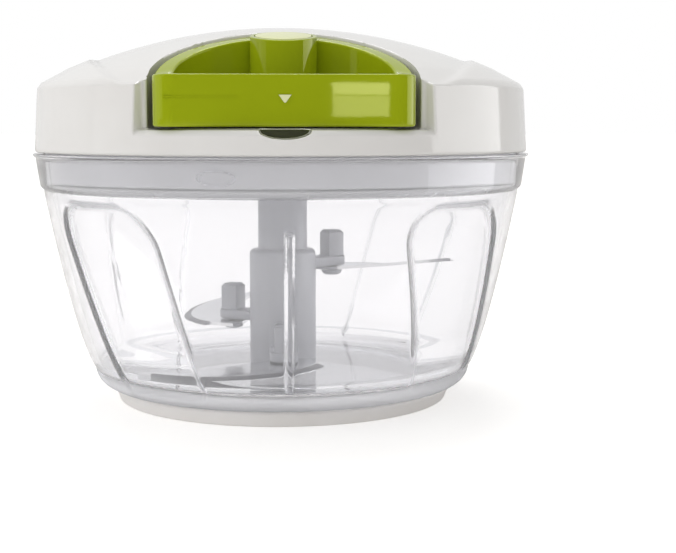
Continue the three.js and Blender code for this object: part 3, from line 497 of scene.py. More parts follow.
# Foot ring
# A soft off-white ring pressed onto the rib under the bowl, so that the chopper doesn't slide.
round_sides = 144
foot_ring_bore = 0.0340
foot_ring_radii = (0.0425, 0.0436)
foot_ring_top = 0.0037
foot_ring_round = 0.0006
groove_radii = (0.0361, 0.0383)
groove_level = 0.0019


def settled(form):
    """Applies a form's place, turn and scale to its mesh."""
    only(form)
    bpy.ops.object.transform_apply(location=True, rotation=True, scale=True)
    return form


def faced_out():
    """Turns all faces of the form in edit mode outwards and leaves edit mode."""
    bpy.ops.mesh.select_all(action="SELECT")
    bpy.ops.mesh.normals_make_consistent(inside=False)
    bpy.ops.object.mode_set(mode="OBJECT")


def turned(name, profile, sides):
    """A closed turned form, drawn out ring by ring through (radius, level) pairs."""
    bpy.ops.object.select_all(action="DESELECT")
    radius, level = profile[0]
    bpy.ops.mesh.primitive_circle_add(vertices=sides, radius=radius, location=(0, 0, level))
    form = settled(bpy.context.object)
    form.name = name
    edit_all(form)
    for next_radius, next_level in profile[1:]:
        bpy.ops.mesh.extrude_edges_move(TRANSFORM_OT_translate={"value": (0, 0, next_level - level)})
        growth = next_radius / radius
        bpy.ops.transform.resize(value=(growth, growth, 1), center_override=(0, 0, 0))
        radius, level = next_radius, next_level
    bpy.ops.mesh.select_all(action="SELECT")
    bpy.ops.mesh.remove_doubles(threshold=same_point)
    bpy.ops.mesh.select_non_manifold(extend=False)
    bpy.ops.mesh.edge_face_add()
    faced_out()
    return form


def hooped(name, profile, sides):
    """A turned form with a bore: its profile ends where it starts."""
    return turned(name, profile + profile[:1], sides)


foot_ring = hooped("rubber_foot_ring", [
    (foot_ring_bore, foot_ring_round),
    (foot_ring_bore + foot_ring_round, 0),
    *arc_points((foot_ring_radii[0] - foot_ring_round, foot_ring_round), foot_ring_round, -90, 0, 4),
    *arc_points((foot_ring_radii[1] - foot_ring_round, foot_ring_top - foot_ring_round), foot_ring_round, 0, 90, 4),
    (groove_radii[1], foot_ring_top),
    (groove_radii[1], groove_level),
    (groove_radii[0], groove_level),
    (groove_radii[0], foot_ring_top),
    (foot_ring_bore + foot_ring_round, foot_ring_top),
    (foot_ring_bore, foot_ring_top - foot_ring_round),
], round_sides)
smooth(foot_ring)


def finish_group(name, **inputs):
    """A group that puts out a surface's colour, roughness and normal, its inputs and its end node."""
    return shader_group(
        name, {"Colour": (0.8, 0.8, 0.8, 1), "Shade": (0.7, 0.7, 0.7, 1), "Polish": 0.3, "Dullness": 0.4, **inputs},
        {"Colour": (0.0, 0.0, 0.0, 1.0), "Roughness": 0.0, "Normal": (0.0, 0.0, 0.0)})


def put_out(group, given, result, spread, wear, relief):
    """Gives a finish its colour by one mask and its roughness by another, and its relief."""
    put_in(group, result, {
        "Colour": mixed(group, spread, given["Colour"], given["Shade"]),
        "Roughness": ranged(group, wear, (given["Polish"], given["Dullness"])),
        "Normal": bumped(group, relief, given["Height"]),
    })


def finished(name, group, finish, inputs):
    """A material whose colour, roughness and normal come from a finish."""
    material, tree, shader = new_material(name, inputs)
    skin = add_node(tree, "ShaderNodeGroup", finish, node_tree=group).outputs
    put_in(tree, shader, {"Base Color": skin["Colour"], "Roughness": skin["Roughness"], "Normal": skin["Normal"]})
    return material


moulded_skin, given, result = finish_group("moulded_skin", Patches=40.0, Grain=1500.0, Height=0.00001)
spot = object_place(moulded_skin)
patches = ranged(moulded_skin, noise(moulded_skin, spot, given["Patches"], 3, 0.55), within=(0.35, 0.65))
marks = add_node(moulded_skin, "ShaderNodeGroup", node_tree=handling_marks)
grain = noise(moulded_skin, spot, given["Grain"], 2)
put_out(moulded_skin, given, result, patches, marks.outputs["Mask"], grain)


def moulded(name, colour, shade, polish, dullness, grain_height, inputs=()):
    """A moulded plastic or rubber: its two shades, the roughness of its polished and handled places, its grain."""
    return finished(name, moulded_skin, {
        "Colour": (*colour, 1), "Shade": (*shade, 1), "Polish": polish, "Dullness": dullness,
        "Height": grain_height}, dict(inputs))


foot_rubber = moulded("off_white_rubber", (0.88, 0.86, 0.845), (0.84, 0.815, 0.795), 0.45, 0.6, 0.00002)
fitted(foot_ring, foot_rubber, "bowl", "soft_foot", "foot_ring")

# Pivot pin
# A turned steel pin with a chamfered top, pressed into the floor of the bowl, that the blade unit spins on.
brushed_metal, given, result = finish_group("brushed_metal", Stretch=(1.0, 1.0, 30.0), Lines=300.0, Height=0.000002)
stretched = add_node(brushed_metal, "ShaderNodeMapping", {
    "Vector": object_place(brushed_metal), "Scale": given["Stretch"]})
lines = noise(brushed_metal, stretched.outputs["Vector"], given["Lines"], 4, 0.6)
spread = ranged(brushed_metal, lines, within=(0.3, 0.7))
put_out(brushed_metal, given, result, spread, spread, lines)


def brushed(name, colour, shade, stretch, polish, dullness, lines=300.0):
    """A brushed or turned metal: its two shades, how its lines are stretched, its roughness."""
    return finished(name, brushed_metal, {
        "Colour": (*colour, 1), "Shade": (*shade, 1), "Polish": polish, "Dullness": dullness,
        "Stretch": stretch, "Lines": lines}, {"Metallic": 1})


def painted(node, material):
    """Gives a node of the frame a material."""
    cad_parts[node].material_slots[0].material = material


pin_steel = brushed("turned_pin_steel", (0.62, 0.62, 0.63), (0.50, 0.50, 0.51), (1, 1, 20), 0.22, 0.36)
painted("pivot_pin", pin_steel)

# Blade hub
# One lavender-white moulding: a column with a square socket for the drive shaft,
# and three arms at three levels, each with a square post over the blade that it carries.
hub_bottom = 0.0082
hub_top = 0.0382
hub_radius = 0.0086
neck_radius = 0.00635
neck_top = 0.0565
socket_half = 0.0034
socket_bottom = 0.0435
pin_bore_radius = 0.0023
pin_bore_top = 0.0134
arm_reach = 0.01518
arm_half_width = 0.0035
arm_thickness = 0.0024
post_half = 0.0024
post_height = 0.0064
post_tip_height = 0.0005
post_tip_inset = 0.0005
post_root = 0.0005
overcut = 0.001
socket_rim_level = 0.056
blade_thickness = 0.0008
blade_gap = 0.0003
blade_arms = (("low", 0, 0.0106, 0), ("mid", -120, 0.0185, 0.0030), ("high", 120, 0.0325, 0.0042))
hub_round = 0.0004


def combined(form, other, operation):
    """Joins another form to a form, or cuts it out, and takes the other form away."""
    only(form)
    change = form.modifiers.new(operation.lower(), "BOOLEAN")
    change.operation = operation
    change.solver = "MANIFOLD"
    change.object = other
    bpy.ops.object.modifier_apply(modifier=change.name)
    bpy.data.objects.remove(other, do_unlink=True)
    return form


def rounded(form, width, segments=3, angle=35, spared=None, merge=0.00002):
    """Rounds the sharp edges of a form, apart from those whose middle is spared, after merging close points."""
    only(form)
    bpy.ops.object.mode_set(mode="EDIT")
    bpy.ops.mesh.select_mode(type="EDGE")
    bpy.ops.mesh.select_all(action="SELECT")
    bpy.ops.mesh.remove_doubles(threshold=merge)
    bpy.ops.mesh.select_all(action="DESELECT")
    bpy.ops.mesh.edges_select_sharp(sharpness=math.radians(angle))
    bpy.ops.object.mode_set(mode="OBJECT")
    places = form.data.vertices
    for edge in form.data.edges:
        middle = (places[edge.vertices[0]].co + places[edge.vertices[1]].co) / 2
        if spared and spared(middle):
            edge.select = False
    bpy.ops.object.mode_set(mode="EDIT")
    bpy.ops.mesh.bevel(offset=width, segments=segments, profile=0.5, clamp_overlap=False, miter_outer="ARC")
    bpy.ops.mesh.select_mode(type="VERT")
    bpy.ops.object.mode_set(mode="OBJECT")
    return form


def bar(low, high):
    """A box between its lowest and highest corners."""
    bpy.ops.object.select_all(action="DESELECT")
    bpy.ops.mesh.primitive_cube_add(size=1, location=[(a + b) / 2 for a, b in zip(low, high)])
    bpy.context.object.scale = [b - a for a, b in zip(low, high)]
    return settled(bpy.context.object)


def plate(outline, low, high):
    """An upright plate between two levels, with an outline of (x, y) points."""
    bpy.ops.object.select_all(action="DESELECT")
    bpy.ops.mesh.primitive_circle_add(vertices=len(outline), fill_type="NGON")
    form = bpy.context.object
    for vertex, (x, y) in zip(form.data.vertices, outline):
        vertex.co = (x, y, low)
    edit_all(form)
    bpy.ops.mesh.extrude_region_move(TRANSFORM_OT_translate={"value": (0, 0, high - low)})
    faced_out()
    return form


def turned_to(form, degrees):
    """Turns a form round the upright axis."""
    form.rotation_euler.z = math.radians(degrees)
    return settled(form)


hub = turned("blade_hub_moulding", [
    (pin_bore_radius, pin_bore_top),
    (pin_bore_radius, hub_bottom),
    (hub_radius, hub_bottom),
    (hub_radius, hub_top - 2 * hub_round),
    (hub_radius - 2 * hub_round, hub_top),
    (neck_radius, hub_top),
    (neck_radius, neck_top),
], 64)
for arm_name, arm_angle, blade_level, tip_rise in blade_arms:
    arm_low = blade_level + blade_thickness / 2 + blade_gap
    arm_high = arm_low + arm_thickness
    tip = [(arm_reach + arm_half_width * math.sin(a), -arm_half_width * math.cos(a))
           for a in np.linspace(0, math.pi, 17)]
    arm = plate([(0, arm_half_width), (0, -arm_half_width), *tip], arm_low, arm_high)
    post_top = arm_high + post_height
    post = bar((arm_reach - post_half, -post_half, arm_high - post_root), (arm_reach + post_half, post_half, post_top))
    small = post_half - post_tip_inset
    cap = bar(
        (arm_reach - small, -small, post_top - post_root), (arm_reach + small, small, post_top + post_tip_height))
    arm = combined(combined(arm, post, "UNION"), cap, "UNION")
    hub = combined(hub, turned_to(arm, arm_angle - 90), "UNION")
socket = bar((-socket_half, -socket_half, socket_bottom), (socket_half, socket_half, neck_top + overcut))
hub = combined(hub, socket, "DIFFERENCE")
rounded(hub, hub_round, 2, spared=lambda middle: (
    middle.xy.length < neck_radius - hub_round and middle.z < socket_rim_level))
hub.name = "blade_hub_moulding"
smooth(hub)
# The hub's colour is set well below its own lavender white, as painted shade for the shadow that the lid casts into
# the bowl. The rivet heads and the drive shaft share it.
hub_plastic = moulded("lavender_white_plastic_painted_shade", (0.48, 0.485, 0.515), (0.44, 0.445, 0.48), 0.32, 0.45, 0.00001)
fitted(hub, hub_plastic, "blades", "hub_plastic", "blade_hub")

# Blades
# Three pressed steel crescents at three levels, ground to an edge on the outside,
# each clamped under an arm by the rivet that runs up into its post.
blade_reach = 0.0460
blade_arc_centre = (0.175, -0.35)
blade_arc_radius = 0.61
blade_heel_angle = 69
blade_tip_angle = -36
blade_inner_edge = ((0.22, 0.185), (0.185, -0.22), (0.59, -0.175), (0.6, -0.76))
blade_bevel = 0.0020
blade_edge_thickness = 0.0002
blade_steps = 48
blade_rows = 5
ground_slopes = (0.08, 0.985)
rivet_profile = (
    (0.0008, -0.0019), (0.0019, -0.0019), (0.0025, -0.0015), (0.0027, -0.0010), (0.0027, -0.0007),
    (0.0015, -0.0007), (0.0015, 0.0054), (0.0006, 0.0054),
)

pressed_steel = brushed("pressed_blade_steel", (0.80, 0.80, 0.81), (0.70, 0.70, 0.71), (1, 24, 1), 0.12, 0.24)
# The ground bevel's steel is much darker than steel's own tone: painted reflection of the dark surroundings on the
# edge.
ground_steel_painted_dark = brushed("ground_blade_edge_painted_dark", (0.26, 0.26, 0.27), (0.18, 0.18, 0.19), (40, 1, 1), 0.24, 0.42, 500.0)


def tip_bend(y, tip_rise):
    """How far a blade is bent up at a distance across its arm."""
    return tip_rise * max(0, -arm_half_width - y) / (-arm_half_width - blade_inner_edge[3][1] * blade_reach)


for arm_name, arm_angle, blade_level, tip_rise in blade_arms:
    bpy.ops.object.select_all(action="DESELECT")
    bpy.ops.mesh.primitive_grid_add(x_subdivisions=blade_steps, y_subdivisions=blade_rows, size=1)
    blade = bpy.context.object
    blade.name = f"steel_blade_{arm_name}"
    places = []
    for row in range(blade_rows + 1):
        for t in np.linspace(0, 1, blade_steps + 1):
            angle = math.radians(blade_heel_angle + (blade_tip_angle - blade_heel_angle) * t)
            away = np.array((math.cos(angle), math.sin(angle)))
            weights = np.array(((1 - t) ** 3, 3 * t * (1 - t) ** 2, 3 * t * t * (1 - t), t ** 3))
            near = weights @ np.array(blade_inner_edge) * blade_reach
            outer = (np.array(blade_arc_centre) + blade_arc_radius * away) * blade_reach
            x, y = near + (outer - away * blade_bevel - near) * row / (blade_rows - 1)
            top = blade_thickness / 2
            if row == blade_rows:
                x, y = outer
                top = blade_edge_thickness - blade_thickness / 2
            places.append((x, y, blade_level + tip_bend(y, tip_rise) + top))
    blade.data.vertices.foreach_set("co", np.array(places, dtype=np.float32).ravel())
    edit_all(blade)
    bpy.ops.mesh.extrude_region_move(TRANSFORM_OT_translate={"value": (0, 0, -blade_thickness)})
    bpy.ops.object.mode_set(mode="OBJECT")
    for vertex in blade.data.vertices:
        if vertex.select:
            vertex.co.z = blade_level + tip_bend(vertex.co.y, tip_rise) - blade_thickness / 2
    edit_all(blade)
    faced_out()
    turned_to(blade, arm_angle - 90)
    smooth(blade, 20)
    fitted(blade, pressed_steel, "blades", "blade_steel", f"blade_{arm_name}")
    blade.data.materials.append(ground_steel_painted_dark)
    for face in blade.data.polygons:
        face.material_index = int(ground_slopes[0] < face.normal.z < ground_slopes[1])
    rivet = turned(f"rivet_head_{arm_name}", [(r, blade_level + z) for r, z in rivet_profile], 32)
    rivet.location = (arm_reach, 0, 0)
    turned_to(settled(rivet), arm_angle - 90)
    smooth(rivet)
    fitted(rivet, hub_plastic, "blades", "hub_plastic", f"rivet_{arm_name}")

# Lid base
# A greyish white disc screwed under the lid: its skirt fills the rim band of the bowl,
# its lip holds the seal, and a boss in its middle holds the bush of the shaft.
plate_low = 0.0575
plate_high = 0.0595
lip_radii = (0.0566, 0.0581)
lip_level = 0.0547
skirt_radii = (0.0579, 0.0599)
skirt_low = 0.0562
skirt_high = 0.0655
boss_radii = (0.0070, 0.0090)
boss_high = 0.0627
lip_fillet = 0.0008
boss_fillet = 0.0006
base_round = 0.0003
screw_circle = 0.0490
screw_hole = 0.0017


def rod(radius, low, high, sides=48, place=(0, 0)):
    """An upright rod."""
    bpy.ops.object.select_all(action="DESELECT")
    bpy.ops.mesh.primitive_cylinder_add(
        vertices=sides, radius=radius, depth=high - low, location=(*place, (low + high) / 2))
    return settled(bpy.context.object)


lid_base = hooped("lid_base_disc", [
    (boss_radii[0], plate_low),
    (lip_radii[0] - lip_fillet, plate_low),
    (lip_radii[0], plate_low - lip_fillet),
    (lip_radii[0], lip_level + base_round),
    (lip_radii[0] + base_round, lip_level),
    (lip_radii[1] - base_round, lip_level),
    (lip_radii[1], lip_level + base_round),
    (lip_radii[1], skirt_low),
    (skirt_radii[1] - base_round, skirt_low),
    (skirt_radii[1], skirt_low + base_round),
    (skirt_radii[1], skirt_high - base_round),
    (skirt_radii[1] - base_round, skirt_high),
    (skirt_radii[0] + base_round, skirt_high),
    (skirt_radii[0], skirt_high - base_round),
    (skirt_radii[0], plate_high),
    (boss_radii[1] + boss_fillet, plate_high),
    (boss_radii[1], plate_high + boss_fillet),
    (boss_radii[1], boss_high - base_round),
    (boss_radii[1] - base_round, boss_high),
    (boss_radii[0], boss_high),
], round_sides)
for screw in range(4):
    angle = math.radians(45 + 90 * screw)
    place = (screw_circle * math.sin(angle), -screw_circle * math.cos(angle))
    combined(lid_base, rod(screw_hole, plate_low - overcut, plate_high + overcut, 24, place), "DIFFERENCE")
smooth(lid_base)
base_plastic = moulded("greyish_white_plastic", (0.74, 0.74, 0.76), (0.70, 0.70, 0.72), 0.34, 0.5, 0.00001)
fitted(lid_base, base_plastic, "lid", "base_white", "lid_base")

# Lid seal
# A soft clear-white silicone ring in the corner between lip and skirt,
# with two thin fins that press on the bowl's wall.
seal_radii = (0.0584, 0.0599)
seal_levels = (0.0545, 0.0559)
seal_round = 0.0002
fin_depth = 0.0003
fin_rises = (0.0002, 0.0005, 0.0008, 0.0011)
lid_seal = hooped("silicone_seal_ring", [
    (seal_radii[0], seal_levels[0] + seal_round),
    (seal_radii[0] + seal_round, seal_levels[0]),
    (seal_radii[1] - fin_depth - seal_round, seal_levels[0]),
    *[(seal_radii[1] - inset, seal_levels[0] + rise) for inset, rise in zip((0, fin_depth, fin_depth, 0), fin_rises)],
    (seal_radii[1] - fin_depth, seal_levels[1]),
    (seal_radii[0], seal_levels[1]),
], round_sides)
smooth(lid_seal)
silicone = moulded("clear_white_silicone", (0.72, 0.72, 0.73), (0.66, 0.66, 0.67), 0.5, 0.62, 0.00001)
fitted(lid_seal, silicone, "lid", "silicone", "lid_seal")

# Screws, bush and drive shaft
# Four cross-head screws hold the disc to the lid, a sintered bronze bush sits in its boss,
# and the moulded shaft runs through the bush from the spool down into the hub's socket.
screw_steel = brushed("plated_screw_steel", (0.66, 0.66, 0.67), (0.54, 0.54, 0.55), (1, 1, 12), 0.25, 0.4)
for screw in range(1, 5):
    painted(f"lid_screw_{screw}", screw_steel)
bush_bronze = moulded(
    "sintered_bronze", (0.47, 0.30, 0.13), (0.38, 0.24, 0.10), 0.42, 0.55, 0.00003, {"Metallic": 1})
painted("shaft_bush", bush_bronze)
painted("drive_shaft", hub_plastic)

# Lid shell
# A glossy white moulding: a round wall under a shallow dome with a raised pad on each shoulder,
# and a pocket at the front, open to the outside, that the pull handle lies in.
lid_edge_level = 0.0632
lid_edge_radius = 0.0625
lid_wall_top_radius = 0.0616
lid_wall_top_level = 0.0785
lid_top_level = 0.0943
pad_corner = (0.0615, 0.0790)
pad_shoulder = (0.0606, 0.0802)
pad_slope = 0.0024
pad_dome_radius = 0.0540
dome_radius = 0.1325
shoulder_radius = 0.0580
body_margin = 0.0002
shoulder_drop = 0.0022
lid_edge_round = 0.0004
dome_row_radii = (0.0240, 0.0200)
lid_wall = 0.0020
pad_rise = 0.0010
pad_inner = (0.0470, 0.0776)
handle_half_width = 0.0289
handle_front = 0.0575
handle_arc_reach = 0.0500
handle_arc_depth = 0.0240
handle_corner = 0.0050
handle_ramp = 0.0510
pocket_gap = 0.0013
pocket_back_share = 0.2
pocket_wall = 0.0020
pocket_floor = 0.0692
pocket_floor_thickness = 0.0030
frame_inner = (0.0314, 0.0507)
frame_outer = (0.0334, 0.0527)
shelf_edge_radius = 0.0612
shelf_slope = 0.0030
shelf_fall = 0.0003
shelf_fall_run = 0.003
jamb_overlap = 0.001
first_ring = 0.02
last_ring = 0.001
hollow_low = 0.0622
hollow_dome_run = 0.004
scoop_half_width = 0.00565
scoop_depth = 0.0019
scoop_level = 0.0688
scoop_reach = (0.0510, 0.0660)
scoop_wall_slack = 0.0001
lid_round = 0.0004
spared_rim = (0.0270, 0.0312)
rim_merge = 0.0003
cord_level = 0.0750
eyelet_hole_radius = 0.00225
eyelet_hole_reach = (0.0203, 0.0275)
dome_sides = 120
beyond = 0.0100


def dome_level(radius, top=lid_top_level):
    """Level of the dome at a radius."""
    return top - dome_radius + math.sqrt(dome_radius ** 2 - radius ** 2)


def dome_points(start_radius, end_radius, steps, top=lid_top_level):
    """(radius, level) points of the dome between two radii."""
    return [(r, dome_level(r, top)) for r in np.linspace(start_radius, end_radius, steps)]


def evened(form):
    """Lets the large faces of a form lead its shading, so that they look flat up to their rounded edges."""
    only(form)
    change = form.modifiers.new("evened_shading", "WEIGHTED_NORMAL")
    change.keep_sharp = True
    bpy.ops.object.modifier_apply(modifier=change.name)


def handle_outline(margin, front, corner, back_share=1.0):
    """Plan of the handle grown by a margin: a half ellipse behind two straight sides and a front."""
    half = handle_half_width + margin
    points = [
        (half * math.cos(a), (handle_arc_depth + back_share * margin) * math.sin(a) - handle_arc_reach)
        for a in np.linspace(0, math.pi, 49)
    ]
    for side, start in ((-1, 180), (1, 270)):
        for a in np.radians(np.linspace(start, start + 90, 7)):
            points.append((side * (half - corner) + corner * math.cos(a), corner - front + corner * math.sin(a)))
    return points


def laid(form, place, tilt=90):
    """Tips an upright form over to the front and moves it to a place."""
    form.rotation_euler.x = math.radians(tilt)
    form.location = place
    return settled(form)


pad_edge = dome_level(pad_dome_radius, lid_top_level + pad_rise)
lid_shell = turned("lid_shell", [
    (first_ring, lid_edge_level),
    (lid_edge_radius - lid_edge_round, lid_edge_level),
    (lid_edge_radius, lid_edge_level + lid_edge_round),
    (lid_wall_top_radius, lid_wall_top_level),
    pad_corner,
    *[tuple(a + (b - a) * share for a, b in zip(pad_shoulder, (pad_dome_radius, pad_edge)))
      for share in np.linspace(0, 1, 9)[:-1]],
    *dome_points(pad_dome_radius, dome_row_radii[0], 40, lid_top_level + pad_rise),
    *dome_points(dome_row_radii[1], last_ring, 5, lid_top_level + pad_rise),
], 2 * dome_sides)
for vertex in lid_shell.data.vertices:
    outward = math.hypot(vertex.co.x / pad_inner[0], vertex.co.y / pad_inner[1])
    on_pad = float(eased((outward - 1) * pad_inner[0] / pad_slope + 0.5))
    over_wall = min(1, max(0, (vertex.co.z - pad_corner[1]) / pad_rise))
    vertex.co.z -= pad_rise * (1 - on_pad) * over_wall
pocket_bottom = pocket_floor - 2 * shelf_slope
pocket_top = lid_top_level + beyond
pocket_front = lid_edge_radius + beyond
pocket = plate(handle_outline(pocket_gap, pocket_front, handle_corner, pocket_back_share), pocket_bottom, pocket_top)
jamb_root = (handle_half_width + pocket_gap - jamb_overlap, frame_inner[1])
corners = [jamb_root, frame_inner, frame_outer, (frame_outer[0], pocket_front)]
jambs = plate([(-x, -y) for x, y in corners] + [(x, -y) for x, y in corners[::-1]], pocket_bottom, pocket_top)
shelf_low = pocket_floor - shelf_fall
above_shelf = turned("above_shelf", [
    (first_ring, pocket_floor),
    (shelf_edge_radius - shelf_fall_run, pocket_floor),
    (shelf_edge_radius, shelf_low),
    (shelf_edge_radius + shelf_slope, shelf_low - shelf_slope),
    (2 * lid_edge_radius, shelf_low - shelf_slope),
    (2 * lid_edge_radius, pocket_top),
    (last_ring, pocket_top),
], 2 * dome_sides)
pocket = combined(combined(pocket, jambs, "UNION"), above_shelf, "INTERSECT")
scoop = rod(1, 0, scoop_reach[1] - scoop_reach[0], 48)
scoop.scale = (scoop_half_width, scoop_depth, 1)
for tool in (pocket, laid(scoop, (0, -scoop_reach[0], scoop_level))):
    lid_shell = combined(lid_shell, tool, "DIFFERENCE")
rounded(lid_shell, lid_round, merge=rim_merge, spared=lambda middle: (
    spared_rim[0] < abs(middle.x) < spared_rim[1] and middle.z > pad_corner[1] and middle.y < 0))
block = plate(
    handle_outline(pocket_gap + pocket_wall, lid_edge_radius, handle_corner),
    pocket_floor - pocket_floor_thickness, pocket_top)
shoulder = shoulder_radius - lid_wall
start = (lid_wall_top_radius + body_margin - lid_wall, lid_wall_top_level - body_margin - lid_wall)
end = (shoulder, dome_level(shoulder, lid_top_level - lid_wall))
corner = (lid_wall_top_radius - body_margin - lid_wall, end[1] - shoulder_drop)
hollow = turned("lid_hollow", [
    (first_ring, hollow_low),
    (lid_edge_radius + body_margin - lid_wall, hollow_low),
    *[tuple((1 - t) ** 2 * a + 2 * t * (1 - t) * b + t * t * c for a, b, c in zip(start, corner, end))
      for t in np.linspace(0, 1, 5)],
    *dome_points(shoulder - hollow_dome_run, last_ring, 14, lid_top_level - lid_wall),
], dome_sides)
hollow = combined(hollow, block, "DIFFERENCE")
for tool in (hollow, laid(rod(eyelet_hole_radius, *eyelet_hole_reach, 32), (0, 0, cord_level))):
    lid_shell = combined(lid_shell, tool, "DIFFERENCE")
lid_shell.name = "lid_shell_moulding"
smooth(lid_shell, 30)
evened(lid_shell)
lid_gloss = moulded("glossy_warm_white", (0.80, 0.788, 0.77), (0.775, 0.76, 0.74), 0.08, 0.15, 0.000002)
fitted(lid_shell, lid_gloss, "lid", "white_gloss", "lid_shell")
# The end wall of the scoop gets a dark olive material: painted shadow for the dark gap under the middle of the
# handle's bar.
scoop_painted_shadow = moulded("scoop_wall_painted_shadow", (0.10, 0.11, 0.055), (0.08, 0.09, 0.04), 0.3, 0.45, 0.000004)
lid_shell.data.materials.append(scoop_painted_shadow)
for face in lid_shell.data.polygons:
    on_back_wall = abs(face.center.y + scoop_reach[0]) < scoop_wall_slack
    if on_back_wall and face.normal.y < -0.9 and face.center.z < pocket_floor:
        face.material_index = 1

# Spool, winding and spring
# A milky acetal spool turns on a steel axle under the dome. The cord is wound in its groove,
# and a flat spiral spring in its cup, closed by a cover, draws the cord back.
acetal = moulded("milky_acetal", (0.74, 0.73, 0.68), (0.68, 0.67, 0.62), 0.36, 0.5, 0.00001)
painted("cord_spool", acetal)
painted("spring_cover", acetal)
painted("spool_axle", pin_steel)
spring_steel = brushed("blued_spring_steel", (0.30, 0.31, 0.34), (0.22, 0.23, 0.26), (1, 1, 30), 0.28, 0.4)
painted("recoil_spring", spring_steel)

# Pull handle
# One glossy green moulding: a ring with a half oval back and a straight front bar to pull on,
# and behind it a boss that holds the knot of the cord.
handle_bottom = 0.0696
handle_bar_top = 0.0810
handle_arm = 0.0045
handle_drop = 0.0006
ramp_rise = 0.0050
ramp_run = 0.0080
opening_corner = 0.0015
knot_place = (0, -0.0335)
knot_boss_radius = 0.0078
knot_cavity_radius = 0.0032
cord_hole_radius = 0.0013
cap_seat_radius = 0.0068
cap_tilt = 10.6
cap_rise = 0.0005
cap_thickness = 0.0009
handle_round = 0.00055
seam_level = 0.0759
seam_width = 0.0003
seam_proud = 0.00012
seam_reach = (-0.0262, -0.0105)
cord_hole_reach = (0.0250, 0.0335)
raised_root = 0.001


def handle_top(x, y):
    """Level of the top of the handle: a low bar in front, a ramp up, and the dome behind."""
    ramp = handle_bar_top + ramp_rise * max(0, (y + handle_ramp) / ramp_run)
    return max(handle_bar_top, min(ramp, dome_level(math.hypot(x, y)) - handle_drop))


outer_loop = handle_outline(0, handle_front, handle_corner)
inner_loop = handle_outline(-handle_arm, handle_front - handle_arm, opening_corner)
bpy.ops.object.select_all(action="DESELECT")
bpy.ops.mesh.primitive_circle_add(vertices=len(outer_loop))
handle = bpy.context.object
loops = [
    [(x, y, handle_bottom) for x, y in outer_loop],
    [(x, y, handle_top(x, y)) for x, y in outer_loop],
    [(x, y, handle_top(x, y)) for x, y in inner_loop],
    [(x, y, handle_bottom) for x, y in inner_loop],
]
for vertex, place in zip(handle.data.vertices, loops[0]):
    vertex.co = place
for loop in loops[1:] + loops[:1]:
    bpy.ops.object.mode_set(mode="EDIT")
    if loop is loops[1]:
        bpy.ops.mesh.select_all(action="SELECT")
    bpy.ops.mesh.extrude_edges_move(TRANSFORM_OT_translate={"value": (0, 0, 0)})
    bpy.ops.object.mode_set(mode="OBJECT")
    for vertex, place in zip([v for v in handle.data.vertices if v.select], loop):
        vertex.co = place
edit_all(handle)
bpy.ops.mesh.remove_doubles(threshold=same_point)
faced_out()
rounded(handle, handle_round, 4, 50)


def on_boss(form):
    """Lays a form that stands upright at the origin on the sloping top of the knot's boss."""
    return laid(form, (*knot_place, cap_level), cap_tilt)


cap_level = dome_level(-knot_place[1]) + cap_rise
knot_boss = rod(knot_boss_radius, handle_bottom, lid_top_level, 64, knot_place)
above = on_boss(rod(2 * knot_boss_radius, 0, beyond, 4))
knot_boss = rounded(combined(knot_boss, above, "DIFFERENCE"), handle_round / 2)
handle = combined(handle, knot_boss, "UNION")
for hole in (
    on_boss(rod(cap_seat_radius, -cap_thickness, beyond / 4, 64)),
    rod(knot_cavity_radius, cord_level - knot_cavity_radius, lid_top_level, 32, knot_place),
    laid(rod(cord_hole_radius, *cord_hole_reach, 24), (0, 0, cord_level)),
):
    handle = combined(handle, hole, "DIFFERENCE")

mark_half_width = 0.0014
mark_tip_share = 0.12
mark_levels = (0.0748, 0.0765)
mark_proud = 0.0003
mark_front = -handle_front - mark_proud
raised_back = -handle_front + raised_root
mark = plate([(mark_front, mark_levels[0]), (mark_front, mark_levels[1]),
              (raised_back, mark_levels[1]), (raised_back, mark_levels[0])], -mark_half_width, mark_half_width)
for vertex in mark.data.vertices:
    y, z, x = vertex.co
    vertex.co = (x * mark_tip_share if z < sum(mark_levels) / 2 else x, y, z)
seam = bar(
    (seam_reach[0], -handle_front - seam_proud, seam_level), (seam_reach[1], raised_back, seam_level + seam_width))
for raised in (mark, seam):
    handle = combined(handle, raised, "UNION")
handle.name = "green_pull_handle"
smooth(handle, 30)
evened(handle)
green_gloss = moulded(
    "glossy_lime_plastic", (0.33, 0.405, 0.007), (0.31, 0.38, 0.006), 0.022, 0.045, 0.0000004,
    {"Specular Tint": (1, 1, 0.45, 1)})
fitted(handle, green_gloss, "handle", "green_gloss", "pull_handle")
mark_paint = moulded("pale_mark_paint", (0.80, 0.83, 0.50), (0.74, 0.77, 0.42), 0.3, 0.45, 0.000002)
handle.data.materials.append(mark_paint)
for face in handle.data.polygons:
    if face.center.y < -handle_front - 0.9 * mark_proud:
        face.material_index = 1

# Knot cap
# A paler green disc pressed into the top of the boss over the knot.
cap_radius = 0.0066
cap_crown = 0.0004
cap_round = 0.0002
cap_plug = (0.0022, 0.0036)
cap_centre = 0.0005
cap_crown_turn = (0.5, 0.8)
knot_cap = on_boss(turned("pale_knot_cap", [
    (cap_centre, -cap_plug[1]),
    (cap_plug[0], -cap_plug[1]),
    (cap_plug[0], -cap_thickness),
    (cap_radius - cap_round, -cap_thickness),
    (cap_radius, -cap_thickness + cap_round),
    (cap_radius, -cap_round / 2),
    (cap_radius - cap_round / 2, cap_round / 2),
    (cap_radius - 2 * cap_round, cap_round),
    (cap_radius * cap_crown_turn[0], cap_crown * cap_crown_turn[1]),
    (cap_centre, cap_crown),
], 64))
smooth(knot_cap)
cap_plastic = moulded("pale_lime_plastic", (0.74, 0.76, 0.42), (0.70, 0.73, 0.37), 0.22, 0.35, 0.000006)
fitted(knot_cap, cap_plastic, "handle", "pale_green", "knot_cap")

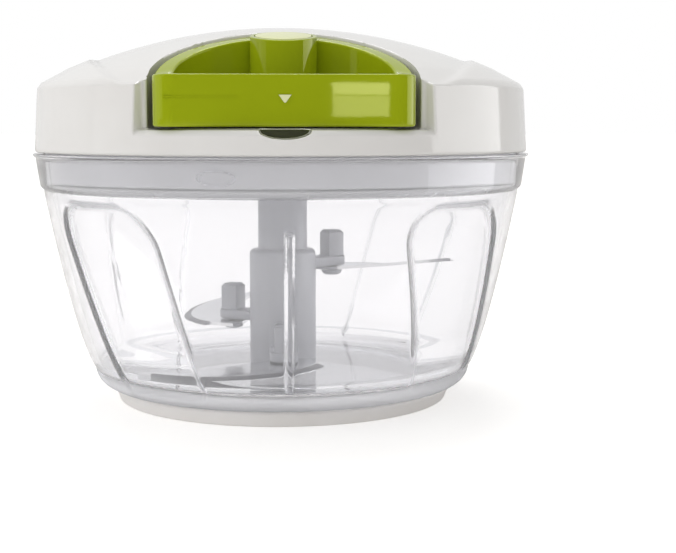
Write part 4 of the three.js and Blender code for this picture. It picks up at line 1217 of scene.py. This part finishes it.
# Pull cord
# A braided nylon cord: its knot sits in the boss of the handle,
# and it runs back through the eyelet, where it is drawn out as the handle is pulled.
cord_radius = 0.0009
cord_round = 0.0002
cord_centre = 0.0003
knot_radius = 0.0022
cord_back = 0.0221
cord_front = 0.0313
knot_reach = 0.0335
knot_arc = (0.6, 3.0)
pull_cord = turned("braided_pull_cord", [
    (cord_centre, cord_back),
    (cord_radius - cord_round, cord_back),
    (cord_radius, cord_back + cord_round),
    *[(cord_radius, y) for y in np.linspace(cord_back + 2 * cord_round, cord_front, 40)],
    *[(knot_radius * math.sin(a), knot_reach - knot_radius * math.cos(a)) for a in np.linspace(*knot_arc, 12)],
], 16)
smooth(laid(pull_cord, (0, 0, cord_level)), 60)
braid_colour = (0.78, 0.77, 0.72, 1)
braid_painted_valley_shade = (0.60, 0.59, 0.54, 1)
braid_pitch = 0.0016
braid_turns = 4
braid_height = 0.00012


def braided(name, axis_level, along):
    """A round braid whose strands cross along an axis, in the plane of its other two coordinates."""
    material, tree, shader = new_material(name, {"Roughness": 0.75})
    parts = add_node(tree, "ShaderNodeSeparateXYZ", {0: object_place(tree)}).outputs
    angle = worked_out(tree, "ARCTAN2", parts["X"], worked_out(tree, "SUBTRACT", parts["Z"], axis_level))
    strands = []
    for lean in (braid_turns, -braid_turns):
        turns = worked_out(tree, "MULTIPLY", angle, lean)
        phase = worked_out(tree, "MULTIPLY_ADD", parts[along], 2 * math.pi / braid_pitch, turns)
        strands.append(worked_out(tree, "SINE", phase))
    # The braid is darker where its strands lie low: painted shade in the valleys between the strands.
    depth = ranged(tree, worked_out(tree, "MAXIMUM", *strands), within=(-1, 1))
    put_in(tree, shader, {
        "Base Color": mixed(tree, depth, braid_painted_valley_shade, braid_colour), "Normal": bumped(tree, depth, braid_height)})
    return material


cord_braid = braided("braided_nylon", cord_level, "Y")
pull_cord.data.materials.clear()
pull_cord.data.materials.append(cord_braid)
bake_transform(pull_cord)
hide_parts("pull_cord")
painted("cord_lead", cord_braid)
painted("cord_winding", braided("wound_nylon", 0, "Z"))
painted("cord_eyelet", acetal)
